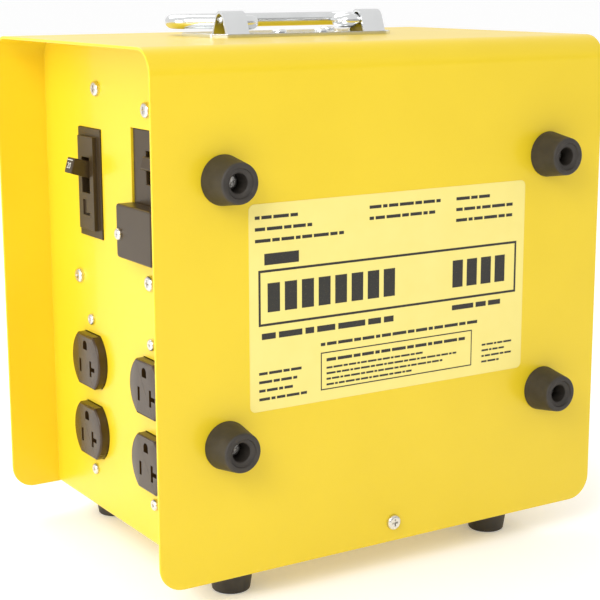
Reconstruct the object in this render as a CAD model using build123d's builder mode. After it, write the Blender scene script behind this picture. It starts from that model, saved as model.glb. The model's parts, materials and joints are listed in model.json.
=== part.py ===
"""Portable power distribution box: a folded steel box with receptacles and breakers on its left side.

Frame: X to the right as seen from the face with the rating label, Y towards the back, Z up.
The origin is at the centre of the bounding box's base, so the four base feet stand on Z = 0.
"""
import os

from build123d import *

os.makedirs("parts", exist_ok=True)

# --- sheet-metal box ---------------------------------------------------------------------------
SHEET = 1.5                    # 16 gauge steel
COVER_W = 266.7                # 10.5 in, left to right
COVER_D = 184.0                # 7.25 in, front to back
COVER_H = 254.0                # 10 in
BEND_R = 12.7                  # outer radius of the cover's two top bends
CORNER_R = 12.7                # lower corners of the front and back panels
SIDE_RECESS = 27.5             # how far the cover stands out past each side panel
FLANGE_W = 16.0                # chassis side flanges, front, back and top
LIP_H = 22.0                   # chassis floor's front and back lips
EDGE_R = 0.45                  # rounding that the coat leaves on a sheared edge

# --- rubber feet, four on the front face and four underneath --------------------------------------
FOOT_BASE_R = 11.9
FOOT_TIP_R = 9.5
FOOT_L = 16.0
FOOT_HOLE_R = 4.7
FOOT_FLOOR = 4.5               # rubber left under the screw head
BUMPER_SPAN_X = 194.0
BUMPER_SPAN_Z = 126.0
BUMPER_MID_Z = 130.5           # above the cover's lower edge
FEET_SPAN_X = 163.0
FEET_INSET_Y = 25.0            # from the cover's front and back faces

# --- fasteners -------------------------------------------------------------------------------------
PANEL_HEAD_R = 3.9             # No. 8 pan head
PANEL_HEAD_H = 2.2
PANEL_SHANK_R = 2.0
SMALL_HEAD_R = 3.0             # No. 6 pan head
SMALL_HEAD_H = 1.8
SMALL_SHANK_R = 1.7
HOLE_PLAY = 0.15
PANEL_HOLE_R = PANEL_SHANK_R + HOLE_PLAY
RIVET_R = 2.4

# --- rating label ------------------------------------------------------------------------------------
LABEL_W = 166.0
LABEL_H = 100.0
LABEL_T = 0.2
LABEL_X = -1.0
LABEL_MID_Z = 131.0            # above the cover's lower edge

# --- reference planes --------------------------------------------------------------------------------
BASE_Z = FOOT_L
TOP_Z = BASE_Z + COVER_H
FRONT_Y = -(COVER_D + PANEL_HEAD_H - FOOT_L) / 2
BACK_Y = FRONT_Y + COVER_D
LEFT_X = -(COVER_W / 2 - SIDE_RECESS)
RIGHT_X = -LEFT_X
INNER_X = LEFT_X + SHEET       # inner face of the left side panel

COVER_SCREW_Z = BASE_Z + 10.4

# --- places on the left side panel (Y, Z) -------------------------------------------------------------
REAR_COLUMN_Y = FRONT_Y + 129.0
FRONT_COLUMN_Y = FRONT_Y + 58.5
DUPLEX_Z = BASE_Z + 63.9
BRANCH_Y = FRONT_Y + 125.0
BRANCH_Z = BASE_Z + 179.3
MAIN_Y = FRONT_Y + 58.5
MAIN_Z = BASE_Z + 180.0

# --- duplex receptacle (standard 20 A face) -----------------------------------------------------------
FACE_R = 17.05
FACE_FLAT = 28.6               # between a face's top and bottom flats
FACE_PITCH = 38.9
FACE_PROUD = 5.0
BLADE_OUT = 6.35               # blade slots from the face's centre line
BLADE_DOWN = 3.4
HOT_SLOT = (2.3, 7.2)
NEUTRAL_SLOT = (2.3, 8.6)
T_LEG = (4.4, 2.3)             # the neutral slot's sideways leg
T_LEG_OUT = 9.2
GROUND_UP = 8.6
GROUND_R = 2.5
SLOT_DEPTH = 15.0
YOKE_SCREW_PITCH = 83.34
DUPLEX_BODY = (34.0, 69.4, 25.0)   # Y, Z and depth behind the panel
YOKE_T = 1.3
YOKE_W = 19.0

# --- branch breaker, one pole ---------------------------------------------------------------------------
BRANCH_FLANGE = (26.6, 57.0)
BRANCH_FACE = (18.3, 49.0)
BRANCH_FLANGE_PROUD = 0.8
BRANCH_FACE_PROUD = 3.2
BRANCH_BODY = (30.0, 70.0, 52.0)
BRANCH_SCREWS = ((FRONT_Y + 115.6, BASE_Z + 228.6), (FRONT_Y + 142.3, BASE_Z + 127.4))
TOGGLE_PIVOT_IN = 8.0          # pivot depth behind the panel's outer face
TOGGLE_PIVOT_Z = BRANCH_Z + 4.2
TOGGLE_ON = 16.0               # degrees above level at rest
TOGGLE_W = 8.4
TOGGLE_SLOT_H = 18.6

# --- main breaker, two poles ------------------------------------------------------------------------------
MAIN_OPENING = (37.0, 64.0)
MAIN_FACE_IN = 1.0             # the face sits just behind the panel's outer face
MAIN_BODY = (40.0, 76.0, 56.0)
MAIN_SCREWS = ((MAIN_Y, MAIN_Z + 41.6), (MAIN_Y, MAIN_Z - 43.4))
MAIN_HANDLE_Y = MAIN_Y - 4.0
MAIN_HANDLE_Z = MAIN_Z + 13.3
MAIN_RECESS = (17.0, 16.4)
COVER_BOX = (38.0, 27.0, 9.0)  # terminal cover: Y, Z and how far it stands proud
COVER_BOX_Z = BASE_Z + 161.5
COVER_SCREW_ACROSS = 15.4      # the cover's screw, to the back of its centre
COVER_SCREW_UP = -1.5

# --- carrying handle ---------------------------------------------------------------------------------------
HINGE_Y = FRONT_Y + 88.0
ROD_R = 3.7
HINGE_H = 7.2                  # hinge line above the cover's top
TUNNEL_TOP = 13.3              # tunnel crests above the cover's top
PLATE_T = 1.8
PLATE_HALF_X = 56.0
PLATE_FRONT = 10.0             # plate edge ahead of the hinge line
PLATE_BACK = 35.0
TUNNEL_OUT_X = 49.0
TUNNEL_IN_X = 35.5
BAIL_HALF_X = 56.0             # to the rod's centre line, as are the sizes below
BAIL_REACH = 47.0
BAIL_SHOULDER = 30.0
BAIL_NECK_X = 20.0
NECK_R = 4.6
SHOULDER_R = 12.0
GRIP_R = 11.0

# --- power inlet on the right side ----------------------------------------------------------------------------
INLET_Y = (FRONT_Y + BACK_Y) / 2
INLET_Z = BASE_Z + 112.0
INLET_HOLE_R = 29.0
INLET_PLATE = 72.0
INLET_SCREW_PITCH = 58.0
INLET_COLLAR_R = 30.0
INLET_BORE_R = 26.0
INLET_COLLAR_H = 10.0
LID_R = 31.0
LID_T = 3.0
LID_HINGE_UP = 35.5            # hinge line above the inlet's centre


def left_plane(y, z, out=0.0):
    """Plane on the left side panel, its normal to the left and its y axis up."""
    return Plane(origin=(LEFT_X - out, y, z), x_dir=(0, -1, 0), z_dir=(-1, 0, 0))


def right_plane(y, z, out=0.0):
    """Plane on the right side panel, its normal to the right and its y axis up."""
    return Plane(origin=(RIGHT_X + out, y, z), x_dir=(0, 1, 0), z_dir=(1, 0, 0))


def front_plane(x, z, out=0.0):
    """Plane on the cover's front face, its normal to the front and its y axis up."""
    return Plane(origin=(x, FRONT_Y - out, z), x_dir=(1, 0, 0), z_dir=(0, -1, 0))


def back_plane(x, z, out=0.0):
    """Plane on the cover's back face, its normal to the back and its y axis up."""
    return Plane(origin=(x, BACK_Y + out, z), x_dir=(-1, 0, 0), z_dir=(0, 1, 0))


def under_plane(x, y, out=0.0):
    """Plane on the chassis floor's underside, its normal down."""
    return Plane(origin=(x, y, BASE_Z - out), x_dir=(1, 0, 0), z_dir=(0, 0, -1))


def finish(piece, name):
    """Label a finished piece and write its STEP file."""
    piece.part.label = name
    export_step(piece.part, f"parts/{name}.step")


def pan_screw(seat, head_r, head_h, shank_r, length):
    """A cross-recess pan-head screw: its head stands on the seat and its shank goes below it."""
    with BuildPart() as screw:
        with BuildSketch(Plane(origin=seat.origin, x_dir=seat.x_dir, z_dir=-seat.y_dir)):
            with BuildLine():
                Polyline((0, head_h), (0, -length), (shank_r - 0.5, -length), (shank_r, -length + 0.8),
                         (shank_r, 0), (head_r, 0), (head_r, head_h * 0.35))
                TangentArc((0, head_h), (head_r, head_h * 0.35), tangent=(1, 0))
            make_face()
        revolve(axis=Axis(seat.origin, seat.z_dir))
        with BuildSketch(seat.offset(head_h + 0.5)):
            Rectangle(head_r * 1.15, head_r * 0.24)
            Rectangle(head_r * 0.24, head_r * 1.15)
        extrude(amount=-(head_h * 0.55 + 0.5), mode=Mode.SUBTRACT)
    return screw.part


def panel_screw(seat, length=10.0):
    """A No. 8 pan-head screw on a seat plane."""
    return pan_screw(seat, PANEL_HEAD_R, PANEL_HEAD_H, PANEL_SHANK_R, length)


def small_screw(seat, length=8.0):
    """A No. 6 pan-head screw on a seat plane."""
    return pan_screw(seat, SMALL_HEAD_R, SMALL_HEAD_H, SMALL_SHANK_R, length)


def rubber_foot(seat):
    """A tapered rubber foot that stands out along the seat's normal, with its screw well."""
    bore_r = PANEL_SHANK_R + HOLE_PLAY
    with BuildPart() as foot:
        with BuildSketch(Plane(origin=seat.origin, x_dir=seat.x_dir, z_dir=-seat.y_dir)):
            with BuildLine():
                FilletPolyline((bore_r, 0), (FOOT_BASE_R, 0), (FOOT_TIP_R, FOOT_L), (FOOT_TIP_R - 2.2, FOOT_L),
                               radius=0.7)
                Polyline((FOOT_TIP_R - 2.2, FOOT_L), (FOOT_TIP_R - 2.7, FOOT_L - 0.9),
                         (FOOT_HOLE_R + 0.8, FOOT_L - 1.3), (FOOT_HOLE_R, FOOT_L - 2.0),
                         (FOOT_HOLE_R, FOOT_FLOOR), (bore_r, FOOT_FLOOR), (bore_r, 0))
            make_face()
        revolve(axis=Axis(seat.origin, seat.z_dir))
    return foot.part


# ---------------------------------------------------------------------------------------------
# Feet and their places
# ---------------------------------------------------------------------------------------------
BUMPERS = {
    f"front_bumper_{row}_{side}": front_plane(sx * BUMPER_SPAN_X / 2,
                                              BASE_Z + BUMPER_MID_Z + sz * BUMPER_SPAN_Z / 2)
    for row, sz in (("upper", 1), ("lower", -1)) for side, sx in (("left", -1), ("right", 1))
}
FEET = {
    f"base_foot_{row}_{side}": under_plane(sx * FEET_SPAN_X / 2, y)
    for row, y in (("front", FRONT_Y + FEET_INSET_Y), ("rear", BACK_Y - FEET_INSET_Y))
    for side, sx in (("left", -1), ("right", 1))
}
for name, seat in {**BUMPERS, **FEET}.items():
    with BuildPart() as foot:
        add(rubber_foot(seat))
    finish(foot, name)

with BuildPart() as bumper_screws:
    for seat in BUMPERS.values():
        add(panel_screw(seat.offset(FOOT_FLOOR), 12.0))
finish(bumper_screws, "bumper_screws")

with BuildPart() as foot_screws:
    for seat in FEET.values():
        add(panel_screw(seat.offset(FOOT_FLOOR), 12.0))
finish(foot_screws, "foot_screws")

with BuildPart() as foot_nuts:
    for seat in (*(place.offset(-SHEET) for place in BUMPERS.values()), *FEET.values()):
        with BuildSketch(seat.offset(-SHEET)):
            RegularPolygon(radius=4.6, side_count=6)
            Circle(PANEL_SHANK_R, mode=Mode.SUBTRACT)
        extrude(amount=-3.2)
finish(foot_nuts, "foot_nuts")

# ---------------------------------------------------------------------------------------------
# Outer cover: front, top and back in one sheet
# ---------------------------------------------------------------------------------------------
COVER_SCREW_SEATS = (front_plane(0, COVER_SCREW_Z), back_plane(0, COVER_SCREW_Z))
TOP_SEAT = Plane.XY.offset(TOP_Z)
RIVET_SEATS = [
    Plane(origin=(sx * x, HINGE_Y + y, TOP_Z)) for x, y in ((34.0, 26.0), (13.0, 0.0)) for sx in (-1, 1)
]

with BuildPart() as outer_cover:
    with BuildSketch(Plane.YZ.offset(-COVER_W / 2)):
        with BuildLine():
            FilletPolyline((FRONT_Y, BASE_Z), (FRONT_Y, TOP_Z), (BACK_Y, TOP_Z), (BACK_Y, BASE_Z),
                           radius=BEND_R)
            offset(amount=SHEET, side=Side.RIGHT)
        make_face()
    extrude(amount=COVER_W)
    fillet(outer_cover.edges().filter_by(Axis.Y).group_by(Axis.Z)[0], radius=CORNER_R)
    rims = outer_cover.faces().filter_by(Axis.X)
    fillet(rims.edges(), radius=EDGE_R)
    with Locations(*BUMPERS.values(), *COVER_SCREW_SEATS):
        Hole(PANEL_HOLE_R, depth=2 * SHEET)
    with Locations(*RIVET_SEATS):
        Hole(RIVET_R, depth=2 * SHEET)
finish(outer_cover, "outer_cover")

# ---------------------------------------------------------------------------------------------
# Chassis: floor and both side panels in one sheet, with stiffening flanges
# ---------------------------------------------------------------------------------------------
CHASSIS_FRONT = FRONT_Y + SHEET
CHASSIS_BACK = BACK_Y - SHEET
CHASSIS_TOP = TOP_Z - SHEET
DUPLEX_COLUMNS = {"rear": REAR_COLUMN_Y, "front": FRONT_COLUMN_Y}
DUPLEX_SCREW_SEATS = [
    left_plane(y, DUPLEX_Z + side * YOKE_SCREW_PITCH / 2) for y in DUPLEX_COLUMNS.values() for side in (1, -1)
]
BREAKER_SCREW_SEATS = [left_plane(y, z) for y, z in (*BRANCH_SCREWS, *MAIN_SCREWS)]
INLET_SCREW_SEATS = [
    right_plane(INLET_Y + sy * INLET_SCREW_PITCH / 2, INLET_Z + sz * INLET_SCREW_PITCH / 2)
    for sy in (-1, 1) for sz in (-1, 1)
]

with BuildPart() as chassis:
    with BuildSketch(Plane.YZ.offset(LEFT_X)):
        with BuildLine():
            FilletPolyline((CHASSIS_FRONT, BASE_Z), (CHASSIS_FRONT, CHASSIS_TOP), (CHASSIS_BACK, CHASSIS_TOP),
                           (CHASSIS_BACK, BASE_Z), radius=BEND_R - SHEET)
            Line((CHASSIS_BACK, BASE_Z), (CHASSIS_FRONT, BASE_Z))
        make_face()
    extrude(amount=RIGHT_X - LEFT_X)
    fillet(chassis.edges().filter_by(Axis.Y).group_by(Axis.Z)[0], radius=2.5)
    offset(amount=-SHEET, mode=Mode.SUBTRACT)
    inner_w = RIGHT_X - LEFT_X - 2 * (SHEET + FLANGE_W)
    with BuildSketch(Plane.XY.offset(BASE_Z + SHEET + LIP_H)):
        with Locations((0, (FRONT_Y + BACK_Y) / 2)):
            Rectangle(inner_w, COVER_D)
    extrude(amount=COVER_H, mode=Mode.SUBTRACT)
    with BuildSketch(left_plane(0, 0, 1)):
        for column_y in DUPLEX_COLUMNS.values():
            for side in (-1, 1):
                with Locations((-column_y, DUPLEX_Z + side * FACE_PITCH / 2)):
                    Circle(FACE_R + 0.4)
        for column_y in DUPLEX_COLUMNS.values():
            for row in (-1, 1):
                flat_z = DUPLEX_Z + row * FACE_PITCH / 2
                for side in (-1, 1):
                    with Locations((-column_y, flat_z + side * (FACE_FLAT / 2 + 0.4 + 4.5))):
                        Rectangle(2 * FACE_R + 2, 9, mode=Mode.SUBTRACT)
        with Locations((-BRANCH_Y, BRANCH_Z)):
            Rectangle(BRANCH_FLANGE[0] + 0.5, BRANCH_FLANGE[1] + 0.5)
        with Locations((-MAIN_Y, MAIN_Z)):
            Rectangle(*MAIN_OPENING)
    extrude(amount=-(SHEET + 2), mode=Mode.SUBTRACT)
    with Locations(*FEET.values(), *BREAKER_SCREW_SEATS, *INLET_SCREW_SEATS):
        Hole(PANEL_HOLE_R, depth=2 * SHEET)
    with Locations(*(seat.offset(-SHEET) for seat in (*COVER_SCREW_SEATS, *BUMPERS.values()))):
        Hole(PANEL_HOLE_R, depth=2 * SHEET)
    with Locations(*DUPLEX_SCREW_SEATS):
        Hole(SMALL_SHANK_R + HOLE_PLAY, depth=2 * SHEET)
    with Locations(right_plane(INLET_Y, INLET_Z)):
        Hole(INLET_HOLE_R, depth=2 * SHEET)
finish(chassis, "chassis")

# ---------------------------------------------------------------------------------------------
# Screws that hold the box together
# ---------------------------------------------------------------------------------------------
with BuildPart() as cover_screws:
    for seat in COVER_SCREW_SEATS:
        add(panel_screw(seat))
finish(cover_screws, "cover_screws")

with BuildPart() as cover_clip_nuts:
    for seat in COVER_SCREW_SEATS:
        with BuildSketch(seat.offset(-2 * SHEET)):
            Rectangle(14.0, 12.0)
            Circle(PANEL_SHANK_R, mode=Mode.SUBTRACT)
        extrude(amount=-2.0)
finish(cover_clip_nuts, "cover_clip_nuts")

with BuildPart() as rating_label:
    with BuildSketch(front_plane(LABEL_X, BASE_Z + LABEL_MID_Z)):
        RectangleRounded(LABEL_W, LABEL_H, 3.0)
    extrude(amount=LABEL_T)
finish(rating_label, "rating_label")

# ---------------------------------------------------------------------------------------------
# Duplex receptacles
# ---------------------------------------------------------------------------------------------
for column, column_y in DUPLEX_COLUMNS.items():
    seat = left_plane(column_y, DUPLEX_Z)
    behind_panel = seat.offset(-SHEET)
    body_y, body_z, body_depth = DUPLEX_BODY
    with BuildPart() as duplex_body:
        with BuildSketch(behind_panel):
            RectangleRounded(body_y, body_z, 3.0)
        extrude(amount=-body_depth)
        with BuildSketch(behind_panel):
            with Locations((0, FACE_PITCH / 2), (0, -FACE_PITCH / 2)):
                Circle(FACE_R)
                with Locations((0, FACE_FLAT / 2 + 5), (0, -FACE_FLAT / 2 - 5)):
                    Rectangle(2 * FACE_R + 2, 10, mode=Mode.SUBTRACT)
        extrude(amount=SHEET + FACE_PROUD)
        fillet(duplex_body.faces().group_by(Axis.X)[0].edges(), radius=0.9)
        with BuildSketch(seat.offset(FACE_PROUD)):
            for face_z in (FACE_PITCH / 2, -FACE_PITCH / 2):
                with Locations((-BLADE_OUT, face_z - BLADE_DOWN)):
                    Rectangle(*HOT_SLOT)
                with Locations((BLADE_OUT, face_z - BLADE_DOWN)):
                    Rectangle(*NEUTRAL_SLOT)
                with Locations((T_LEG_OUT, face_z - BLADE_DOWN)):
                    Rectangle(*T_LEG)
                with Locations((0, face_z + GROUND_UP)):
                    Circle(GROUND_R)
                with Locations((0, face_z + GROUND_UP - GROUND_R / 2)):
                    Rectangle(2 * GROUND_R, GROUND_R)
        extrude(amount=-SLOT_DEPTH, mode=Mode.SUBTRACT)
        with BuildSketch(behind_panel.offset(-6.0)):
            with Locations((-body_y / 2, 0), (body_y / 2, 0)):
                Rectangle(2.4, 54.0)
        extrude(amount=-11.0, mode=Mode.SUBTRACT)
    finish(duplex_body, f"{column}_duplex_body")

    with BuildPart() as duplex_yoke:
        with BuildSketch(Plane.XZ.offset(-column_y + YOKE_W / 2)):
            with BuildLine():
                Polyline((INNER_X, DUPLEX_Z + 53.0), (INNER_X, DUPLEX_Z + body_z / 2),
                         (INNER_X + body_depth, DUPLEX_Z + body_z / 2),
                         (INNER_X + body_depth, DUPLEX_Z - body_z / 2), (INNER_X, DUPLEX_Z - body_z / 2),
                         (INNER_X, DUPLEX_Z - 53.0))
                offset(amount=YOKE_T, side=Side.LEFT)
            make_face()
        extrude(amount=-YOKE_W)
        with Locations(*(left_plane(column_y, DUPLEX_Z + s * YOKE_SCREW_PITCH / 2, -SHEET) for s in (1, -1))):
            Hole(SMALL_SHANK_R, depth=2 * YOKE_T)
    finish(duplex_yoke, f"{column}_duplex_yoke")

    with BuildPart() as duplex_terminals:
        for side in (-1, 1):
            with BuildSketch(behind_panel.offset(-6.5)):
                with Locations((side * (body_y / 2 - 0.6), 0)):
                    Rectangle(1.2, 52.0)
            extrude(amount=-10.0)
            for row in (-1, 1):
                corner = (INNER_X + 11.5, column_y - side * body_y / 2, DUPLEX_Z + row * 17.0)
                add(small_screw(Plane(origin=corner, x_dir=(1, 0, 0), z_dir=(0, -side, 0)), 1.0))
    finish(duplex_terminals, f"{column}_duplex_terminals")

with BuildPart() as duplex_screws:
    for seat in DUPLEX_SCREW_SEATS:
        add(small_screw(seat))
finish(duplex_screws, "duplex_screws")

# ---------------------------------------------------------------------------------------------
# Branch breaker: one pole, its toggle up in the ON position
# ---------------------------------------------------------------------------------------------
branch_seat = left_plane(BRANCH_Y, BRANCH_Z)
branch_pivot = (LEFT_X + TOGGLE_PIVOT_IN, BRANCH_Y, TOGGLE_PIVOT_Z)
BRACKET_T = 1.5

with BuildPart() as branch_bracket:
    with BuildSketch(branch_seat.offset(-SHEET)):
        Rectangle(BRANCH_BODY[0] + 5.0, BRANCH_BODY[1] + 8.0)
        for screw_y, screw_z in BRANCH_SCREWS:
            with Locations((BRANCH_Y - screw_y, screw_z - BRANCH_Z)):
                Circle(7.0)
            with Locations((BRANCH_Y - screw_y, (screw_z - BRANCH_Z) * 0.82)):
                Rectangle(14.0, abs(screw_z - BRANCH_Z) * 0.36)
        Rectangle(BRANCH_FLANGE[0] + 0.5, BRANCH_FLANGE[1] + 0.5, mode=Mode.SUBTRACT)
    extrude(amount=-BRACKET_T)
    with BuildSketch(branch_seat.offset(-SHEET - BRACKET_T)):
        with Locations((0, BRANCH_BODY[1] / 2 + 0.8), (0, -BRANCH_BODY[1] / 2 - 0.8)):
            Rectangle(20.0, 1.4)
    extrude(amount=-30.0)
    with Locations(*(left_plane(y, z, -SHEET) for y, z in BRANCH_SCREWS)):
        Hole(PANEL_SHANK_R, depth=2 * BRACKET_T)
finish(branch_bracket, "branch_breaker_bracket")

with BuildPart() as branch_case:
    with BuildSketch(branch_seat.offset(-SHEET - BRACKET_T)):
        RectangleRounded(*BRANCH_BODY[:2], 1.5)
    extrude(amount=-BRANCH_BODY[2])
    with BuildSketch(branch_seat.offset(-SHEET - BRACKET_T)):
        RectangleRounded(*BRANCH_FLANGE, 0.8)
    extrude(amount=SHEET + BRACKET_T + BRANCH_FLANGE_PROUD)
    with BuildSketch(branch_seat.offset(BRANCH_FLANGE_PROUD)):
        RectangleRounded(*BRANCH_FACE, 1.0)
    extrude(amount=BRANCH_FACE_PROUD - BRANCH_FLANGE_PROUD)
    fillet(branch_case.faces().group_by(Axis.X)[0].edges(), radius=0.7)
    with BuildSketch(branch_seat.offset(BRANCH_FACE_PROUD)):
        with Locations((0, TOGGLE_PIVOT_Z - BRANCH_Z)):
            Rectangle(TOGGLE_W + 1.0, TOGGLE_SLOT_H)
    extrude(amount=-BRANCH_FACE_PROUD - TOGGLE_PIVOT_IN - 8.0, mode=Mode.SUBTRACT)
    with BuildSketch(branch_seat.offset(BRANCH_FACE_PROUD)):
        with Locations((-2.2, -12.8)):
            Rectangle(4.0, 8.0)
        with Locations((0, -16.0)):
            Rectangle(8.4, 1.6)
    extrude(amount=-1.0, mode=Mode.SUBTRACT)
finish(branch_case, "branch_breaker_case")


def breaker_lever(pivot, width, reach, tip_h, root_h, hub_r, tilt):
    """A tapered breaker lever that points to the left of its pivot, raised by the tilt angle."""
    with BuildPart() as lever:
        with BuildSketch(Plane(origin=pivot, x_dir=(-1, 0, 0), z_dir=(0, 1, 0))):
            with BuildLine():
                Polyline((0, -root_h / 2), (reach - 7.0, -root_h / 2 + 0.6), (reach, -tip_h / 2),
                         (reach, tip_h / 2), (reach - 7.0, root_h / 2 - 0.6), (0, root_h / 2), close=True)
            make_face()
            Circle(hub_r)
        extrude(amount=width / 2, both=True)
        fillet(lever.faces().group_by(Axis.X)[0].edges(), radius=0.8)
    return lever.part.rotate(Axis(pivot, (0, 1, 0)), tilt)


with BuildPart() as branch_toggle:
    add(breaker_lever(branch_pivot, TOGGLE_W, 21.2, 8.2, 9.0, 6.0, TOGGLE_ON))
finish(branch_toggle, "branch_breaker_toggle")

# ---------------------------------------------------------------------------------------------
# Main breaker: two poles on one handle, a test button and a terminal cover
# ---------------------------------------------------------------------------------------------
main_seat = left_plane(MAIN_Y, MAIN_Z)
main_pivot = (LEFT_X + TOGGLE_PIVOT_IN, MAIN_HANDLE_Y, MAIN_HANDLE_Z)
BUTTON_Y_SHIFT = 11.5          # towards the front
BUTTON_UP = 26.0
BUTTON_SIZE = 6.0
BUTTON_TRAVEL = 1.2
BUTTON_SPRING_R = 2.2
BUTTON_SPRING_H = 3.0          # the spring stands in a pocket in the button's back

with BuildPart() as main_bracket:
    with BuildSketch(main_seat.offset(-SHEET)):
        Rectangle(MAIN_BODY[0] + 4.0, MAIN_BODY[1] + 8.0)
        for screw_y, screw_z in MAIN_SCREWS:
            with Locations((0, (screw_z - MAIN_Z) * 0.95)):
                RectangleRounded(15.0, 20.0, 3.0)
        Rectangle(*MAIN_OPENING, mode=Mode.SUBTRACT)
    extrude(amount=-BRACKET_T)
    with BuildSketch(main_seat.offset(-SHEET - BRACKET_T)):
        with Locations((0, MAIN_BODY[1] / 2 + 0.8), (0, -MAIN_BODY[1] / 2 - 0.8)):
            Rectangle(26.0, 1.4)
    extrude(amount=-30.0)
    with Locations(*(left_plane(y, z, -SHEET) for y, z in MAIN_SCREWS)):
        Hole(PANEL_SHANK_R, depth=2 * BRACKET_T)
finish(main_bracket, "main_breaker_bracket")

with BuildPart() as main_case:
    with BuildSketch(main_seat.offset(-SHEET - BRACKET_T)):
        RectangleRounded(*MAIN_BODY[:2], 1.5)
    extrude(amount=-MAIN_BODY[2])
    with BuildSketch(main_seat.offset(-SHEET - BRACKET_T)):
        Rectangle(MAIN_OPENING[0] - 0.6, MAIN_OPENING[1] - 0.6)
    extrude(amount=SHEET + BRACKET_T - MAIN_FACE_IN)
    fillet(main_case.faces().group_by(Axis.X)[0].edges(), radius=0.6)
    with BuildSketch(main_seat.offset(-MAIN_FACE_IN)):
        with Locations((MAIN_Y - MAIN_HANDLE_Y, MAIN_HANDLE_Z - MAIN_Z)):
            Rectangle(*MAIN_RECESS)
    extrude(amount=-TOGGLE_PIVOT_IN - 7.0, mode=Mode.SUBTRACT)
    with BuildSketch(main_seat.offset(-MAIN_FACE_IN)):
        with Locations((BUTTON_Y_SHIFT, BUTTON_UP)):
            Rectangle(BUTTON_SIZE + 0.6, BUTTON_SIZE + 0.6)
    extrude(amount=-8.0, mode=Mode.SUBTRACT)
finish(main_case, "main_breaker_case")

with BuildPart() as main_handle:
    add(breaker_lever(main_pivot, 15.0, 10.5, 6.4, 8.0, 5.6, TOGGLE_ON))
finish(main_handle, "main_breaker_handle")

with BuildPart() as test_button:
    with BuildSketch(main_seat.offset(-MAIN_FACE_IN - 7.9 + BUTTON_TRAVEL)):
        with Locations((BUTTON_Y_SHIFT, BUTTON_UP)):
            RectangleRounded(BUTTON_SIZE, BUTTON_SIZE, 0.8)
    extrude(amount=7.9 - BUTTON_TRAVEL + 2.0)
    fillet(test_button.faces().group_by(Axis.X)[0].edges(), radius=0.5)
    with BuildSketch(main_seat.offset(-MAIN_FACE_IN - 7.9 + BUTTON_TRAVEL)):
        with Locations((BUTTON_Y_SHIFT, BUTTON_UP)):
            Circle(BUTTON_SPRING_R + 0.2)
    extrude(amount=BUTTON_SPRING_H, mode=Mode.SUBTRACT)
finish(test_button, "test_button")

with BuildPart() as test_button_spring:
    spring_foot = main_seat.offset(-MAIN_FACE_IN - 8.0)
    with BuildSketch(spring_foot):
        with Locations((BUTTON_Y_SHIFT, BUTTON_UP)):
            Circle(BUTTON_SPRING_R)
            Circle(BUTTON_SPRING_R - 0.6, mode=Mode.SUBTRACT)
    extrude(amount=BUTTON_SPRING_H)
finish(test_button_spring, "test_button_spring")

with BuildPart() as terminal_cover:
    cover_foot = left_plane(MAIN_Y, COVER_BOX_Z, -MAIN_FACE_IN)
    with BuildSketch(cover_foot):
        Rectangle(MAIN_OPENING[0] - 0.8, COVER_BOX[1] - 0.8)
    extrude(amount=MAIN_FACE_IN + 0.2)
    with BuildSketch(cover_foot.offset(MAIN_FACE_IN + 0.2)):
        Rectangle(*COVER_BOX[:2])
    extrude(amount=COVER_BOX[2] - 0.2)
    fillet(terminal_cover.edges().filter_by(Axis.X).group_by(SortBy.LENGTH)[-1], radius=1.6)
    fillet(terminal_cover.faces().group_by(Axis.X)[0].edges(), radius=0.8)
    with BuildSketch(cover_foot):
        Rectangle(MAIN_OPENING[0] - 4.4, COVER_BOX[1] - 4.4)
    extrude(amount=MAIN_FACE_IN + COVER_BOX[2] - 1.8, mode=Mode.SUBTRACT)
    with BuildSketch(cover_foot):
        with Locations((-COVER_SCREW_ACROSS, COVER_SCREW_UP)):
            Circle(2.7)
            Circle(1.5, mode=Mode.SUBTRACT)
    extrude(amount=MAIN_FACE_IN + COVER_BOX[2] - 1.0)
    with BuildSketch(cover_foot):
        with Locations((-COVER_SCREW_ACROSS, COVER_SCREW_UP)):
            Circle(1.5)
    extrude(amount=MAIN_FACE_IN + COVER_BOX[2] + 1.0, mode=Mode.SUBTRACT)
finish(terminal_cover, "terminal_cover")

with BuildPart() as terminal_cover_screw:
    screw_seat = left_plane(MAIN_Y + COVER_SCREW_ACROSS, COVER_BOX_Z + COVER_SCREW_UP, COVER_BOX[2])
    add(pan_screw(screw_seat, SMALL_HEAD_R, SMALL_HEAD_H, 1.5, COVER_BOX[2] + MAIN_FACE_IN - 0.1))
finish(terminal_cover_screw, "terminal_cover_screw")

with BuildPart() as breaker_screws:
    for seat in BREAKER_SCREW_SEATS:
        add(panel_screw(seat))
finish(breaker_screws, "breaker_screws")

# ---------------------------------------------------------------------------------------------
# Carrying handle: stamped plate with two tunnels, a bent-rod bail and four rivets
# ---------------------------------------------------------------------------------------------
hinge_z = TOP_Z + HINGE_H
TUNNEL_FOOT_Y = 8.6
TUNNEL_CREST_Y = 3.4
TUNNEL_WALL = 1.5
CORNER_CUT = 7.0

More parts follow.
